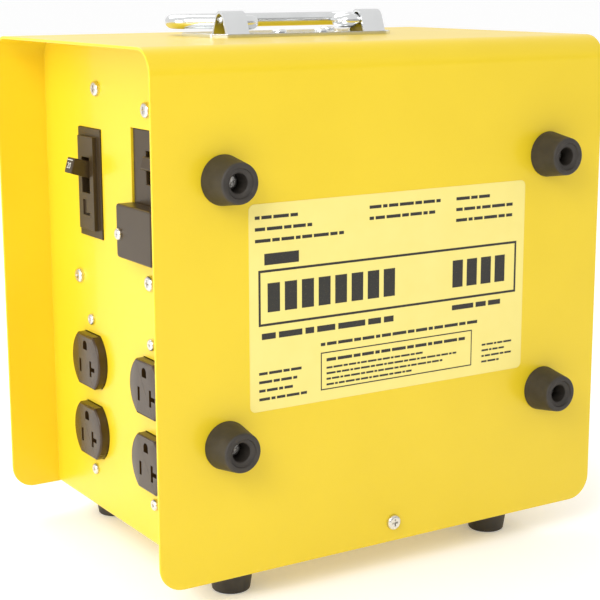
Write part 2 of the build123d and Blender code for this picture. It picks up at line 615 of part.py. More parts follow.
with BuildPart() as handle_plate:
    with BuildSketch(TOP_SEAT) as plate_outline:
        with Locations((0, HINGE_Y + (PLATE_BACK - PLATE_FRONT) / 2)):
            Rectangle(2 * PLATE_HALF_X, PLATE_BACK + PLATE_FRONT)
        chamfer(plate_outline.vertices(), length=CORNER_CUT)
        fillet(plate_outline.vertices(), radius=3.0)
        for side in (-1, 1):
            with Locations((side * (TUNNEL_IN_X + TUNNEL_OUT_X) / 2, HINGE_Y)):
                Rectangle(TUNNEL_OUT_X - TUNNEL_IN_X, 2 * (TUNNEL_FOOT_Y - TUNNEL_WALL), mode=Mode.SUBTRACT)
    extrude(amount=PLATE_T)
    for side in (-1, 1):
        with BuildSketch(Plane.YZ.offset(side * TUNNEL_IN_X)):
            with BuildLine():
                FilletPolyline((HINGE_Y - TUNNEL_FOOT_Y, TOP_Z), (HINGE_Y - TUNNEL_CREST_Y, TOP_Z + TUNNEL_TOP),
                               (HINGE_Y + TUNNEL_CREST_Y, TOP_Z + TUNNEL_TOP), (HINGE_Y + TUNNEL_FOOT_Y, TOP_Z),
                               radius=3.3)
                offset(amount=TUNNEL_WALL, side=Side.RIGHT)
            make_face()
        extrude(amount=side * (TUNNEL_OUT_X - TUNNEL_IN_X))
    split(bisect_by=TOP_SEAT, keep=Keep.TOP)
    with Locations(*(seat.offset(PLATE_T) for seat in RIVET_SEATS)):
        Hole(RIVET_R, depth=2 * PLATE_T)
finish(handle_plate, "handle_plate")

with BuildPart() as handle_bail:
    half_path = [(TUNNEL_OUT_X - 4.0, 0), (BAIL_NECK_X, 0), (BAIL_HALF_X, BAIL_SHOULDER), (BAIL_HALF_X, BAIL_REACH)]
    corners = [(-x, HINGE_Y + y) for x, y in half_path] + [(x, HINGE_Y + y) for x, y in reversed(half_path)]
    with BuildLine(Plane.XY.offset(hinge_z)) as rod_path:
        FilletPolyline(*corners, radius=(NECK_R, SHOULDER_R, GRIP_R, GRIP_R, SHOULDER_R, NECK_R))
    rod = rod_path.wires()[0]
    with BuildSketch(Plane(origin=rod @ 0, z_dir=rod % 0)):
        Circle(ROD_R)
    sweep(path=rod)
    fillet(handle_bail.faces().filter_by(GeomType.PLANE).edges(), radius=0.8)
finish(handle_bail, "handle_bail")

with BuildPart() as handle_rivets:
    for seat in RIVET_SEATS:
        for sketch_plane, radius, height in ((seat.offset(PLATE_T), 3.9, 1.5),
                                             (seat.offset(-SHEET), RIVET_R, SHEET + PLATE_T),
                                             (seat.offset(-SHEET - 1.5), 4.0, 1.5)):
            with BuildSketch(sketch_plane):
                Circle(radius)
            extrude(amount=height)
    fillet(handle_rivets.edges().filter_by(GeomType.CIRCLE).group_by(Axis.Z)[-1], radius=1.0)
finish(handle_rivets, "handle_rivets")

# ---------------------------------------------------------------------------------------------
# Power inlet on the right side, under a sprung lid
# ---------------------------------------------------------------------------------------------
inlet_seat = right_plane(INLET_Y, INLET_Z)
GASKET_T = 1.5
PLATE_OUT = GASKET_T + 3.0
COLLAR_OUT = PLATE_OUT + INLET_COLLAR_H
LID_OUT = COLLAR_OUT + 0.4
hinge_line = Axis((RIGHT_X + LID_OUT + LID_T / 2, INLET_Y, INLET_Z + LID_HINGE_UP), (0, 1, 0))
PIN_R = 1.5
KNUCKLE_R = 3.0
LUG_Y = 14.0                   # hinge lugs, to either side of the inlet's centre
LUG_W = 5.0
INLET_BODY_R = INLET_HOLE_R - 0.5
INLET_BODY_L = 34.0
SOCKET_DEPTH = 20.0
BLADE_RING_R = 15.0
BLADE_SWEEPS = ((45, 32), (135, 32), (225, 32), (315, 38))

with BuildPart() as inlet_gasket:
    with BuildSketch(inlet_seat):
        RectangleRounded(INLET_PLATE, INLET_PLATE, 8.0)
        Circle(INLET_HOLE_R, mode=Mode.SUBTRACT)
    extrude(amount=GASKET_T)
    with Locations(*(seat.offset(GASKET_T) for seat in INLET_SCREW_SEATS)):
        Hole(PANEL_HOLE_R, depth=2 * GASKET_T)
finish(inlet_gasket, "inlet_gasket")

with BuildPart() as inlet_flange:
    with BuildSketch(inlet_seat.offset(GASKET_T)):
        RectangleRounded(INLET_PLATE, INLET_PLATE, 8.0)
    extrude(amount=PLATE_OUT - GASKET_T)
    fillet(inlet_flange.faces().sort_by(Axis.X)[-1].edges(), radius=1.0)
    with BuildSketch(inlet_seat.offset(PLATE_OUT - 0.5)):
        Circle(INLET_COLLAR_R)
    extrude(amount=INLET_COLLAR_H + 0.5)
    for side in (-1, 1):
        with BuildSketch(Plane.XZ.offset(-INLET_Y - side * LUG_Y + LUG_W / 2)):
            with BuildLine():
                Polyline((RIGHT_X + PLATE_OUT - 0.5, INLET_Z + 24.0), (RIGHT_X + COLLAR_OUT, INLET_Z + 24.0),
                         (RIGHT_X + COLLAR_OUT, INLET_Z + LID_HINGE_UP - KNUCKLE_R))
                Line((RIGHT_X + COLLAR_OUT, INLET_Z + LID_HINGE_UP - KNUCKLE_R),
                     (hinge_line.position.X + KNUCKLE_R, hinge_line.position.Z - 0.5))
                Polyline((hinge_line.position.X + KNUCKLE_R, hinge_line.position.Z - 0.5),
                         (hinge_line.position.X + KNUCKLE_R - 1, hinge_line.position.Z + KNUCKLE_R),
                         (hinge_line.position.X - KNUCKLE_R, hinge_line.position.Z + KNUCKLE_R),
                         (RIGHT_X + PLATE_OUT - 0.5, INLET_Z + 34.0), (RIGHT_X + PLATE_OUT - 0.5, INLET_Z + 24.0))
            make_face()
        extrude(amount=-LUG_W)
    with BuildSketch(inlet_seat.offset(COLLAR_OUT)):
        Circle(INLET_BORE_R)
    extrude(amount=-COLLAR_OUT, mode=Mode.SUBTRACT)
    with BuildSketch(inlet_seat.offset(GASKET_T)):
        Circle(INLET_HOLE_R)
    extrude(amount=1.5, mode=Mode.SUBTRACT)
    with Locations(*(seat.offset(PLATE_OUT) for seat in INLET_SCREW_SEATS)):
        Hole(PANEL_HOLE_R, depth=2 * PLATE_OUT)
    with Locations(Plane(origin=hinge_line.position + Vector(0, LUG_Y + LUG_W, 0), z_dir=(0, 1, 0))):
        Hole(PIN_R, depth=2 * (LUG_Y + LUG_W))
finish(inlet_flange, "inlet_flange")

with BuildPart() as inlet_body:
    with BuildSketch(inlet_seat.offset(GASKET_T + 1.5)):
        Circle(INLET_BODY_R)
    extrude(amount=-INLET_BODY_L)
    with BuildSketch(inlet_seat.offset(GASKET_T + 1.5)):
        Circle(INLET_BORE_R - 1.0)
    extrude(amount=-SOCKET_DEPTH, mode=Mode.SUBTRACT)
    chamfer(inlet_body.faces().sort_by(Axis.X)[0].edges(), length=1.5)
finish(inlet_body, "inlet_body")

socket_floor = inlet_seat.offset(GASKET_T + 1.5 - SOCKET_DEPTH)
with BuildPart() as inlet_blades:
    for middle, sweep_deg in BLADE_SWEEPS:
        with BuildSketch(socket_floor):
            with BuildLine():
                CenterArc((0, 0), BLADE_RING_R, middle - sweep_deg / 2, sweep_deg)
                offset(amount=1.6, side=Side.LEFT)
            make_face()
        extrude(amount=17.0)
finish(inlet_blades, "inlet_blades")

with BuildPart() as inlet_lid:
    with BuildSketch(inlet_seat.offset(LID_OUT)):
        Circle(LID_R)
    extrude(amount=LID_T)
    fillet(inlet_lid.faces().sort_by(Axis.X)[-1].edges(), radius=1.0)
    with BuildSketch(inlet_seat.offset(LID_OUT)):
        with Locations((0, LID_HINGE_UP - 8)):
            Rectangle(2 * (LUG_Y - LUG_W / 2) - 0.8, 16)
        with Locations((0, -LID_R - 1.0)):
            RectangleRounded(18.0, 10.0, 3.0)
    extrude(amount=LID_T - 0.3)
    with BuildSketch(inlet_seat.offset(LID_OUT)):
        Circle(INLET_BORE_R - 2.0)
        Circle(INLET_BORE_R - 4.0, mode=Mode.SUBTRACT)
    extrude(amount=-1.5)
    with BuildSketch(Plane.XZ.offset(-INLET_Y + LUG_Y - LUG_W / 2 - 0.4)):
        with Locations((hinge_line.position.X, hinge_line.position.Z)):
            Circle(KNUCKLE_R - 0.3)
    extrude(amount=-2 * (LUG_Y - LUG_W / 2 - 0.4))
    with BuildSketch(Plane.XZ.offset(-INLET_Y + 6.0)):
        with Locations((hinge_line.position.X, hinge_line.position.Z)):
            Rectangle(8.0, 8.0)
    extrude(amount=-12.0, mode=Mode.SUBTRACT)
    with Locations(Plane(origin=hinge_line.position + Vector(0, LUG_Y, 0), z_dir=(0, 1, 0))):
        Hole(PIN_R + 0.05, depth=2 * LUG_Y)
finish(inlet_lid, "inlet_lid")

with BuildPart() as inlet_hinge_pin:
    with BuildSketch(Plane(origin=hinge_line.position - Vector(0, LUG_Y + LUG_W / 2, 0), z_dir=(0, 1, 0))):
        Circle(PIN_R)
    extrude(amount=2 * LUG_Y + LUG_W)
    with BuildSketch(Plane(origin=hinge_line.position - Vector(0, LUG_Y + LUG_W / 2, 0), z_dir=(0, -1, 0))):
        Circle(PIN_R + 0.9)
    extrude(amount=1.2)
finish(inlet_hinge_pin, "inlet_hinge_pin")

COIL_R = 2.2
COIL_WIRE_R = 0.45
COIL_PITCH = 1.1
with BuildPart() as inlet_lid_spring:
    with BuildLine() as coil:
        Helix(pitch=COIL_PITCH, height=8 * COIL_PITCH, radius=COIL_R,
              center=hinge_line.position - Vector(0, 4 * COIL_PITCH, 0), direction=(0, 1, 0))
    with BuildSketch(Plane(origin=coil.line @ 0, z_dir=coil.line % 0)):
        Circle(COIL_WIRE_R)
    sweep(path=coil.line, is_frenet=True)
finish(inlet_lid_spring, "inlet_lid_spring")

with BuildPart() as inlet_screws:
    for seat in INLET_SCREW_SEATS:
        add(panel_screw(seat.offset(PLATE_OUT), 12.0))
finish(inlet_screws, "inlet_screws")

# ---------------------------------------------------------------------------------------------
# Neutral and ground bars on the chassis floor
# ---------------------------------------------------------------------------------------------
FLOOR_Z = BASE_Z + SHEET
BAR_L, BAR_W, BAR_H = 72.0, 9.0, 9.0
BAR_POLES = 6
STANDOFF_H = 12.0
BAR_X = 12.0
BARS = {"neutral": (FRONT_Y + 118.0, FLOOR_Z + STANDOFF_H), "ground": (FRONT_Y + 66.0, FLOOR_Z)}
pole_x = [BAR_X + BAR_L * ((i + 0.5) / BAR_POLES - 0.5) for i in range(BAR_POLES)]

for name, (bar_y, bar_z) in BARS.items():
    with BuildPart() as bar:
        with BuildSketch(Plane.XY.offset(bar_z)):
            with Locations((BAR_X, bar_y)):
                Rectangle(BAR_L, BAR_W)
        extrude(amount=BAR_H)
        with Locations(*((x, bar_y, bar_z + BAR_H) for x in pole_x)):
            Hole(2.0, depth=6.0)
        with Locations(*(Plane(origin=(x, bar_y - BAR_W / 2, bar_z + BAR_H / 2), z_dir=(0, -1, 0)) for x in pole_x)):
            Hole(2.4, depth=6.0)
    finish(bar, f"{name}_bar")
    with BuildPart() as bar_screws:
        for x in pole_x:
            add(pan_screw(Plane(origin=(x, bar_y, bar_z + BAR_H)), 2.9, 1.6, 2.0, 1.8))
    finish(bar_screws, f"{name}_bar_screws")

with BuildPart() as neutral_standoffs:
    with BuildSketch(Plane.XY.offset(FLOOR_Z)):
        with Locations(*((BAR_X + side * (BAR_L / 2 - 7), BARS["neutral"][0]) for side in (-1, 1))):
            RectangleRounded(12.0, 14.0, 2.0)
    extrude(amount=STANDOFF_H)
finish(neutral_standoffs, "neutral_standoffs")

# ---------------------------------------------------------------------------------------------
# Internal wiring, No. 10 wire
# ---------------------------------------------------------------------------------------------
WIRE_R = 2.2
inlet_back_x = RIGHT_X + GASKET_T + 1.5 - INLET_BODY_L
main_back_x = INNER_X + BRACKET_T + MAIN_BODY[2]
branch_back_x = INNER_X + BRACKET_T + BRANCH_BODY[2]
duplex_back_x = INNER_X + DUPLEX_BODY[2]


def run_wire(*points, bend=7.0):
    """One insulated wire along straight runs joined by arcs."""
    with BuildPart() as wire:
        with BuildLine() as route:
            FilletPolyline(*points, radius=bend)
        path = route.wires()[0]
        with BuildSketch(Plane(origin=path @ 0, z_dir=path % 0)):
            Circle(WIRE_R)
        sweep(path=path)
    return wire.part


LANDING = 13.0                 # wires land beside the yoke's back strap
front_land, rear_land = MAIN_Y - LANDING, REAR_COLUMN_Y - LANDING
neutral_in = (BARS["neutral"][0] - BAR_W / 2, BARS["neutral"][1] + BAR_H / 2)
ground_in = (BARS["ground"][0] - BAR_W / 2, BARS["ground"][1] + BAR_H / 2)
low_z = DUPLEX_Z - 24

HARNESS = {
    "black_wires": (
        ((inlet_back_x, INLET_Y - 12, INLET_Z + 12), (30, INLET_Y - 12, INLET_Z + 12),
         (-10, MAIN_Y - 8, MAIN_Z + 14), (main_back_x, MAIN_Y - 8, MAIN_Z + 14)),
        ((main_back_x, front_land, MAIN_Z - 22), (-15, front_land, MAIN_Z - 22),
         (-15, front_land, DUPLEX_Z + 24), (duplex_back_x, front_land, DUPLEX_Z + 24)),
    ),
    "red_wires": (
        ((inlet_back_x, INLET_Y + 12, INLET_Z + 12), (34, INLET_Y + 12, INLET_Z + 12),
         (-4, MAIN_Y + 8, MAIN_Z + 22), (main_back_x, MAIN_Y + 8, MAIN_Z + 22)),
        ((branch_back_x, rear_land, BRANCH_Z - 22), (-20, rear_land, BRANCH_Z - 22),
         (-20, rear_land, DUPLEX_Z + 24), (duplex_back_x, rear_land, DUPLEX_Z + 24)),
        ((main_back_x, MAIN_Y + 8, MAIN_Z - 8), (-20, MAIN_Y + 8, MAIN_Z - 8),
         (-20, BRANCH_Y - 6, BRANCH_Z + 12), (branch_back_x, BRANCH_Y - 6, BRANCH_Z + 12)),
    ),
    "white_wires": (
        ((inlet_back_x, INLET_Y - 12, INLET_Z - 12), (pole_x[5], INLET_Y - 12, INLET_Z - 12),
         (pole_x[5], INLET_Y - 12, neutral_in[1]), (pole_x[5], *neutral_in)),
        ((pole_x[0], *neutral_in), (pole_x[0], neutral_in[0] - 16, neutral_in[1]),
         (-50, rear_land, low_z), (duplex_back_x, rear_land, low_z)),
        ((pole_x[1], *neutral_in), (pole_x[1], neutral_in[0] - 20, neutral_in[1]),
         (-50, MAIN_Y + LANDING, low_z), (duplex_back_x, MAIN_Y + LANDING, low_z)),
    ),
    "green_wires": (
        ((inlet_back_x, INLET_Y, INLET_Z - 20), (pole_x[4], INLET_Y, INLET_Z - 20),
         (pole_x[4], ground_in[0] - 16, ground_in[1]), (pole_x[4], *ground_in)),
        ((pole_x[0], *ground_in), (pole_x[0], front_land, ground_in[1]),
         (-50, front_land, low_z), (duplex_back_x, front_land, low_z)),
        ((duplex_back_x, front_land, DUPLEX_Z), (-60, front_land, DUPLEX_Z),
         (-60, REAR_COLUMN_Y + LANDING, DUPLEX_Z), (duplex_back_x, REAR_COLUMN_Y + LANDING, DUPLEX_Z)),
    ),
}
for name, routes in HARNESS.items():
    with BuildPart() as wires:
        for route_points in routes:
            add(run_wire(*route_points))
    finish(wires, name)
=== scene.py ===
"""Looks of the portable power distribution box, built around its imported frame.

Metres throughout: X to the right as seen from the label face, Y towards the back, Z up.
"""

import json
import math

import bmesh
import bpy
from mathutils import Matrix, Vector


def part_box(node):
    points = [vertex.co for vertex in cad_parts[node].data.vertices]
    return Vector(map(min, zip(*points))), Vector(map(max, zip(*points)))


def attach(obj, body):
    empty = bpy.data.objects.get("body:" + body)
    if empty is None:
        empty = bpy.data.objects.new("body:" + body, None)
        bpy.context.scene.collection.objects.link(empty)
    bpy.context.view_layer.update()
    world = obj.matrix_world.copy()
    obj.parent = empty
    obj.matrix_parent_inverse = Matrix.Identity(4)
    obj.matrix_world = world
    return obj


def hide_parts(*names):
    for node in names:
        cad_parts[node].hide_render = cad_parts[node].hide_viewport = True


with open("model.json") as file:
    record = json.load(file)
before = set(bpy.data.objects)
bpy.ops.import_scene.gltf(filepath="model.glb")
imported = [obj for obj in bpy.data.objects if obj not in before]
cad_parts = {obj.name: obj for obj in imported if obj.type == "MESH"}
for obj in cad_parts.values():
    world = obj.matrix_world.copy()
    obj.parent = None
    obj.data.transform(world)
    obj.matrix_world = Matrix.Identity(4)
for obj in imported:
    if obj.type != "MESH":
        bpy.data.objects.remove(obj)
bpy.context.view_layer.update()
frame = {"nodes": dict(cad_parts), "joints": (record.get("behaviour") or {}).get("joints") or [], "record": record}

MM = 0.001
HAIR = 0.02 * MM               # closer than this counts as touching
RIGHT, BACK, UP = Vector((1, 0, 0)), Vector((0, 1, 0)), Vector((0, 0, 1))
LEFT, FRONT, DOWN = -RIGHT, -BACK, -UP
PANEL_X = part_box("chassis")[0].x     # outside of the receptacle panel

# --- sheet metal -------------------------------------------------------------------------
SHEET = 1.5 * MM
BEND_R = 12.7 * MM
CORNER_R = 12.7 * MM
COAT_R = 0.45 * MM             # rounding that the coat leaves on a sheared edge

# --- rubber feet -------------------------------------------------------------------------
FOOT_BASE_R = 11.9 * MM
FOOT_TIP_R = 9.5 * MM
FOOT_LENGTH = 16.0 * MM
FOOT_FLOOR = 4.5 * MM          # rubber under the screw head
FOOT_LIP = 1.4 * MM            # flat ring round the mouth
FOOT_STEPS = ((0.45 * MM, 0.9 * MM), (1.15 * MM, 0.4 * MM), (0.8 * MM, 0.7 * MM))    # inset and drop of each
BUMPERS = [f"front_bumper_{row}_{side}" for row in ("upper", "lower") for side in ("left", "right")]
BASE_FEET = [f"base_foot_{row}_{side}" for row in ("front", "rear") for side in ("left", "right")]

# --- label -----------------------------------------------------------------------------------
LABEL_CORNER_R = 3.0 * MM
INK_T = 0.02 * MM

# --- screw heads: radius, height, shank radius ---------------------------------------------
PANEL_SCREW = (3.9 * MM, 2.2 * MM, 2.0 * MM)
SMALL_SCREW = (3.0 * MM, 1.8 * MM, 1.5 * MM)
HEAD_DOME = 0.62               # rounding of the head, as a share of its height
CROSS_WING, CROSS_WEB = 0.58, 0.13     # reach and half-width of the recess, as shares of the radius
CROSS_FLOOR = 0.42             # height of its floor, as a share of the head's height
CROSS_TAPER = 0.75             # size of its floor, as a share of its mouth

# --- screw seats; those of the breakers are across and up from the case's middle -----------------
COVER_SCREW_UP = 10.4 * MM
DUPLEX_SCREW_PITCH = 83.34 * MM
BRANCH_SCREWS = ((-9.4 * MM, 49.3 * MM), (17.3 * MM, -51.9 * MM))
MAIN_SCREWS = ((0, 41.6 * MM), (0, -43.4 * MM))
INLET_SCREW_OUT = 29 * MM

# --- receptacle face -----------------------------------------------------------------------
FACE_R = 17.05 * MM
FACE_FLAT = 28.6 * MM
FACE_PITCH = 38.9 * MM
BLADE_OUT = 6.35 * MM
BLADE_DOWN = 3.4 * MM
HOT_SLOT = (2.3 * MM, 7.2 * MM)
NEUTRAL_SLOT = (2.3 * MM, 8.6 * MM)
T_LEG = (4.4 * MM, 2.3 * MM)
T_LEG_OUT = 9.2 * MM
GROUND_UP = 8.6 * MM
GROUND_R = 2.5 * MM
SLOT_DEPTH = 15 * MM
FACE_EDGE_R = 1.1 * MM
BODY_CORNER_R = 3 * MM

# --- breakers --------------------------------------------------------------------------------
BRACKET_T = 1.5 * MM
LEVER_TILT = math.radians(16.0)
TOGGLE = (21.2 * MM, 8.4 * MM, 8.2 * MM, 9.0 * MM)     # reach, width, height at the tip and at the root
MAIN_LEVER = (10.5 * MM, 15.0 * MM, 6.4 * MM, 8.0 * MM)
HUB_R = {"branch_toggle_throw": 6.0 * MM, "main_lever_throw": 5.6 * MM}
BRANCH_FLANGE = (26.6 * MM, 57.0 * MM)                 # width and height
BRANCH_FLANGE_PROUD = 0.8 * MM
BRANCH_RIM = 4.1 * MM
BRANCH_RECESS = (16.0 * MM, 4.7 * MM, 9.3 * MM)        # depth, half width, half height
BRANCH_WINDOWS = ((2.2, -12.8, 4.0, 8.0), (0, -16.0, 8.4, 1.6))    # mm: across, up, width, height
MAIN_FACE = (36.4 * MM, 63.4 * MM)
MAIN_RECESS = (14.0 * MM, 8.5 * MM, 8.2 * MM)
BUTTON_WELL = (8 * MM, 3.3 * MM, 3.3 * MM)
LID_WALL = 1.8 * MM
LID_FACE = 2.2 * MM              # wall and gap at the terminal cover's front

# --- carrying handle ---------------------------------------------------------------------------
ROD_R = 3.7 * MM
TUNNEL_WALL = 1.5 * MM
TUNNEL_FOOT = 8.6 * MM
TUNNEL_CREST = 3.4 * MM
TUNNEL_SPAN = (35.5 * MM, 49.0 * MM)
PLATE_T = 1.8 * MM
PLATE_CUT = 7.0 * MM
PLATE_CORNER_R = 1.2 * MM
TUNNEL_BEND_R = 3.3 * MM
RIVET_HEAD_R = 3.9 * MM
RIVET_SHANK_R = 2.4 * MM
RIVET_DOME = 1.15 * MM
RIVET_PAIRS = ((34 * MM, 26 * MM), (13 * MM, 0))     # half spacing, and distance behind the hinge line
BAIL_CORNERS = ((45, 0, 0), (20, 0, 0), (56, 30, 0), (56, 47, 0), (0, 47, 0))   # mm, from the hinge line
BAIL_BENDS = (4.6 * MM, 12.0 * MM, 11.0 * MM)

SMOOTH_ANGLE = math.radians(38)
MOUTH_ANGLE = math.radians(24)  # for a receptacle's face, so that its slots stay crisp

# --- studio --------------------------------------------------------------------------------------
SKY = 0.85                     # brightness of the sky
EYE = (-0.4387, -0.6959, 0.2996)
EYE_TURN = (math.pi / 2 - 0.206, 0.0026, -0.5604)
LENS = 92.44
BOX_MIDDLE = Vector((0, 0, 0.14))
LIGHTS = (                     # name, place, size, power
    ("key", (-0.85, -0.65, 0.8), 0.6, 6.6),
    ("top", (-0.1, 0.9, 1.3), 1.2, 9.0),
    ("side", (-1.3, 0.1, 0.35), 0.6, 4.0),
)


# ---------------------------------------------------------------------------------------------
# Shop tools
# ---------------------------------------------------------------------------------------------
def clear_selection():
    """Leave edit mode and select nothing."""
    if bpy.context.object and bpy.context.object.mode != "OBJECT":
        bpy.ops.object.mode_set(mode="OBJECT")
    bpy.ops.object.select_all(action="DESELECT")


def take(piece):
    """Select one piece alone."""
    clear_selection()
    piece.select_set(True)
    bpy.context.view_layer.objects.active = piece


def settle(name):
    """Name the piece in hand and put its place into its mesh."""
    piece = bpy.context.object
    piece.name = piece.data.name = name
    bpy.ops.object.transform_apply(location=True, rotation=True, scale=True)
    return piece


def block(name, low, high):
    """A square blank between two corners."""
    clear_selection()
    low, high = Vector(low), Vector(high)
    bpy.ops.mesh.primitive_cube_add(size=1, location=(low + high) / 2, scale=high - low)
    return settle(name)


def around(name, middle, half):
    """A square blank round a middle, given by half its size."""
    return block(name, middle - half, middle + half)


def turned(name, foot, way, radius, length, tip_radius=None, sides=64):
    """A round blank that stands on a foot point and grows one way."""
    clear_selection()
    bpy.ops.mesh.primitive_cone_add(
        vertices=sides, radius1=radius, radius2=radius if tip_radius is None else tip_radius, depth=length,
        location=foot + way * length / 2, rotation=way.to_track_quat("Z", "Y").to_euler())
    return settle(name)


def shape(piece):
    """Open a piece in edit mode."""
    take(piece)
    bpy.ops.object.mode_set(mode="EDIT")


def pick(piece, kind, test):
    """Select the faces, edges or vertices that pass a test."""
    bpy.ops.mesh.select_mode(type=kind)
    bpy.ops.mesh.select_all(action="DESELECT")
    mesh = bmesh.from_edit_mesh(piece.data)
    mesh.normal_update()
    for element in {"FACE": mesh.faces, "EDGE": mesh.edges, "VERT": mesh.verts}[kind]:
        if test(element):
            element.select_set(True)
    mesh.select_flush_mode()
    bmesh.update_edit_mesh(piece.data)


def done():
    bpy.ops.object.mode_set(mode="OBJECT")


def facing(way, level=None):
    """A test for faces that look one way, at a level along it if one is given."""
    def test(face):
        middle = face.calc_center_median().dot(way)
        return face.normal.dot(way) > 0.95 and (level is None or abs(middle - level) < HAIR)
    return test


def lying(way, level):
    """A test for edges whose two ends are at a level along a direction."""
    return lambda edge: all(abs(end.co.dot(way) - level) < HAIR for end in edge.verts)


def along(way):
    """A test for edges that run along a direction."""
    def test(edge):
        run = edge.verts[1].co - edge.verts[0].co
        return abs(run.normalized().dot(way)) > 0.99
    return test


def crest(level):
    """A test for edges that run crosswise at a height."""
    at_height, crosswise = lying(UP, level), along(RIGHT)
    return lambda edge: at_height(edge) and crosswise(edge)


def step_in(inset, drop):
    """Inset the picked face and sink it."""
    bpy.ops.mesh.inset(thickness=inset)
    bpy.ops.transform.translate(value=drop)


def push(by):
    """Extrude what is picked."""
    bpy.ops.mesh.extrude_region_move(TRANSFORM_OT_translate={"value": by})


def apply(piece, kind, **settings):
    """Add a modifier and apply it."""
    take(piece)
    modifier = piece.modifiers.new(kind.title(), kind)
    for setting, value in settings.items():
        setattr(modifier, setting, value)
    bpy.ops.object.modifier_apply(modifier=modifier.name)


def smooth(piece):
    """Shade smooth across soft edges, and keep the flats flat."""
    take(piece)
    bpy.ops.object.shade_smooth_by_angle(angle=SMOOTH_ANGLE)
    apply(piece, "WEIGHTED_NORMAL", keep_sharp=True)
    return piece


def soften(piece, width, segments=2, angle=50):
    """Round the sharp edges of a piece."""
    apply(piece, "BEVEL", width=width, segments=segments, limit_method="ANGLE",
          angle_limit=math.radians(angle), use_clamp_overlap=True)
    return smooth(piece)


def cut(piece, cutter):
    """Cut one piece with another, which is used up."""
    apply(piece, "BOOLEAN", object=cutter, operation="DIFFERENCE", solver="EXACT", use_self=True)
    bpy.data.objects.remove(cutter)


def weld(name, *parts):
    """Join parts into one piece."""
    clear_selection()
    for part in parts:
        part.select_set(True)
    bpy.context.view_layer.objects.active = parts[0]
    bpy.ops.object.join()
    return settle(name)


def copied(piece, name, shift, way=UP):
    """A copy of a piece with its own mesh, moved, and turned from up to another way."""
    take(piece)
    bpy.ops.object.duplicate()
    twin = bpy.context.object
    twin.rotation_euler = way.to_track_quat("Z", "Y").to_euler()
    twin.location = shift
    return settle(name)


def scrap(*pieces):
    for piece in pieces:
        bpy.data.objects.remove(piece)


def from_frame(name, node, width):
    """A softened copy of a CAD node: merged, its flats made whole, its edges rounded."""
    take(frame["nodes"][node])
    bpy.ops.object.duplicate()
    twin = bpy.context.object
    twin.parent = None
    for tag in [key for key in twin.keys() if key.startswith("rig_")]:
        del twin[tag]
    twin.name = twin.data.name = name
    shape(twin)
    bpy.ops.mesh.select_all(action="SELECT")
    bpy.ops.mesh.remove_doubles(threshold=0.002 * MM)
    bpy.ops.mesh.dissolve_limited(angle_limit=math.radians(0.5))
    done()
    if twin.data.has_custom_normals:
        bpy.ops.mesh.customdata_custom_splitnormals_clear()
    return soften(twin, width) if width else smooth(twin)


def middle_of(node):
    low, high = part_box(node)
    return (low + high) / 2


def joint_place(name):
    """Where a joint of the frame turns."""
    joint = next(j for j in frame["joints"] if j["name"] == name)
    return Vector(joint["pos_m"])


# ---------------------------------------------------------------------------------------------
# Finishes
# ---------------------------------------------------------------------------------------------
class Wire:
    """A socket in a node graph. Arithmetic on it adds Math nodes."""

    def __init__(self, graph, socket):
        self.graph, self.socket = graph, socket

    def math(self, operation, other):
        return self.graph.node("ShaderNodeMath", {"operation": operation}, {0: self, 1: other})

    def __add__(self, other):
        return self.math("ADD", other)

    def __mul__(self, other):
        return self.math("MULTIPLY", other)

    __radd__ = __add__
    __rmul__ = __mul__


class Graph:
    """The nodes of a material or of the world."""

    def __init__(self, owner):
        owner.use_nodes = True
        self.tree = owner.node_tree
        self.tree.nodes.clear()

    def node(self, kind, settings=None, inputs=None, output=0):
        """Any node: its settings first, then the values or links of its sockets."""
        made = self.tree.nodes.new(kind)
        for setting, value in (settings or {}).items():
            setattr(made, setting, value)
        for socket, value in (inputs or {}).items():
            if isinstance(value, Wire):
                self.tree.links.new(value.socket, made.inputs[socket])
            else:
                made.inputs[socket].default_value = value
        return Wire(self, made.outputs[output])

    def show(self, kind, surface):
        """End the graph in an output node."""
        self.tree.links.new(surface.socket, self.tree.nodes.new(kind).inputs["Surface"])


class Finish(Graph):
    """A surface finish: one shader, with what varies over the surface worked out from Object coordinates."""

    def __init__(self, name, **constants):
        self.material = bpy.data.materials.new(name)
        super().__init__(self.material)
        surface = self.node("ShaderNodeBsdfPrincipled", inputs={
            socket.replace("_", " "): value for socket, value in constants.items()})
        self.shader = surface.socket.node
        self.show("ShaderNodeOutputMaterial", surface)
        self.where = self.node("ShaderNodeTexCoord", output="Object")

    def noise(self, size, detail=2.0, where=None):
        """Soft noise from 0 to 1, with features of about that size."""
        return self.node("ShaderNodeTexNoise", inputs={
            "Vector": where or self.where, "Scale": 1 / size, "Detail": detail})

    def cells(self, size):
        """Cells of about that size, as in spangle: dark at their middles."""
        return self.node("ShaderNodeTexVoronoi", inputs={"Vector": self.where, "Scale": 1 / size},
                         output="Distance")

    def stretched(self, x, y, z):
        """Object coordinates scaled along each axis, for drawn or brushed lines."""
        return self.node("ShaderNodeMapping", inputs={"Vector": self.where, "Scale": (x, y, z)})

    def spread(self, value, low, high):
        """A value's low to high taken to 0 to 1, clamped."""
        return self.node("ShaderNodeMapRange", inputs={"Value": value, "From Min": low, "From Max": high})

    def blend(self, factor, first, second):
        """One colour turning into another."""
        return self.node("ShaderNodeMix", {"data_type": "RGBA"},
                         {0: factor, 6: (*first, 1), 7: (*second, 1)}, output=2)

    def feed(self, socket, value):
        self.tree.links.new(value.socket, self.shader.inputs[socket])

    def relief(self, height, depth):
        """Surface relief of that depth."""
        self.feed("Normal", self.node("ShaderNodeBump", inputs={
            "Height": height, "Distance": depth, "Strength": 1.0}))


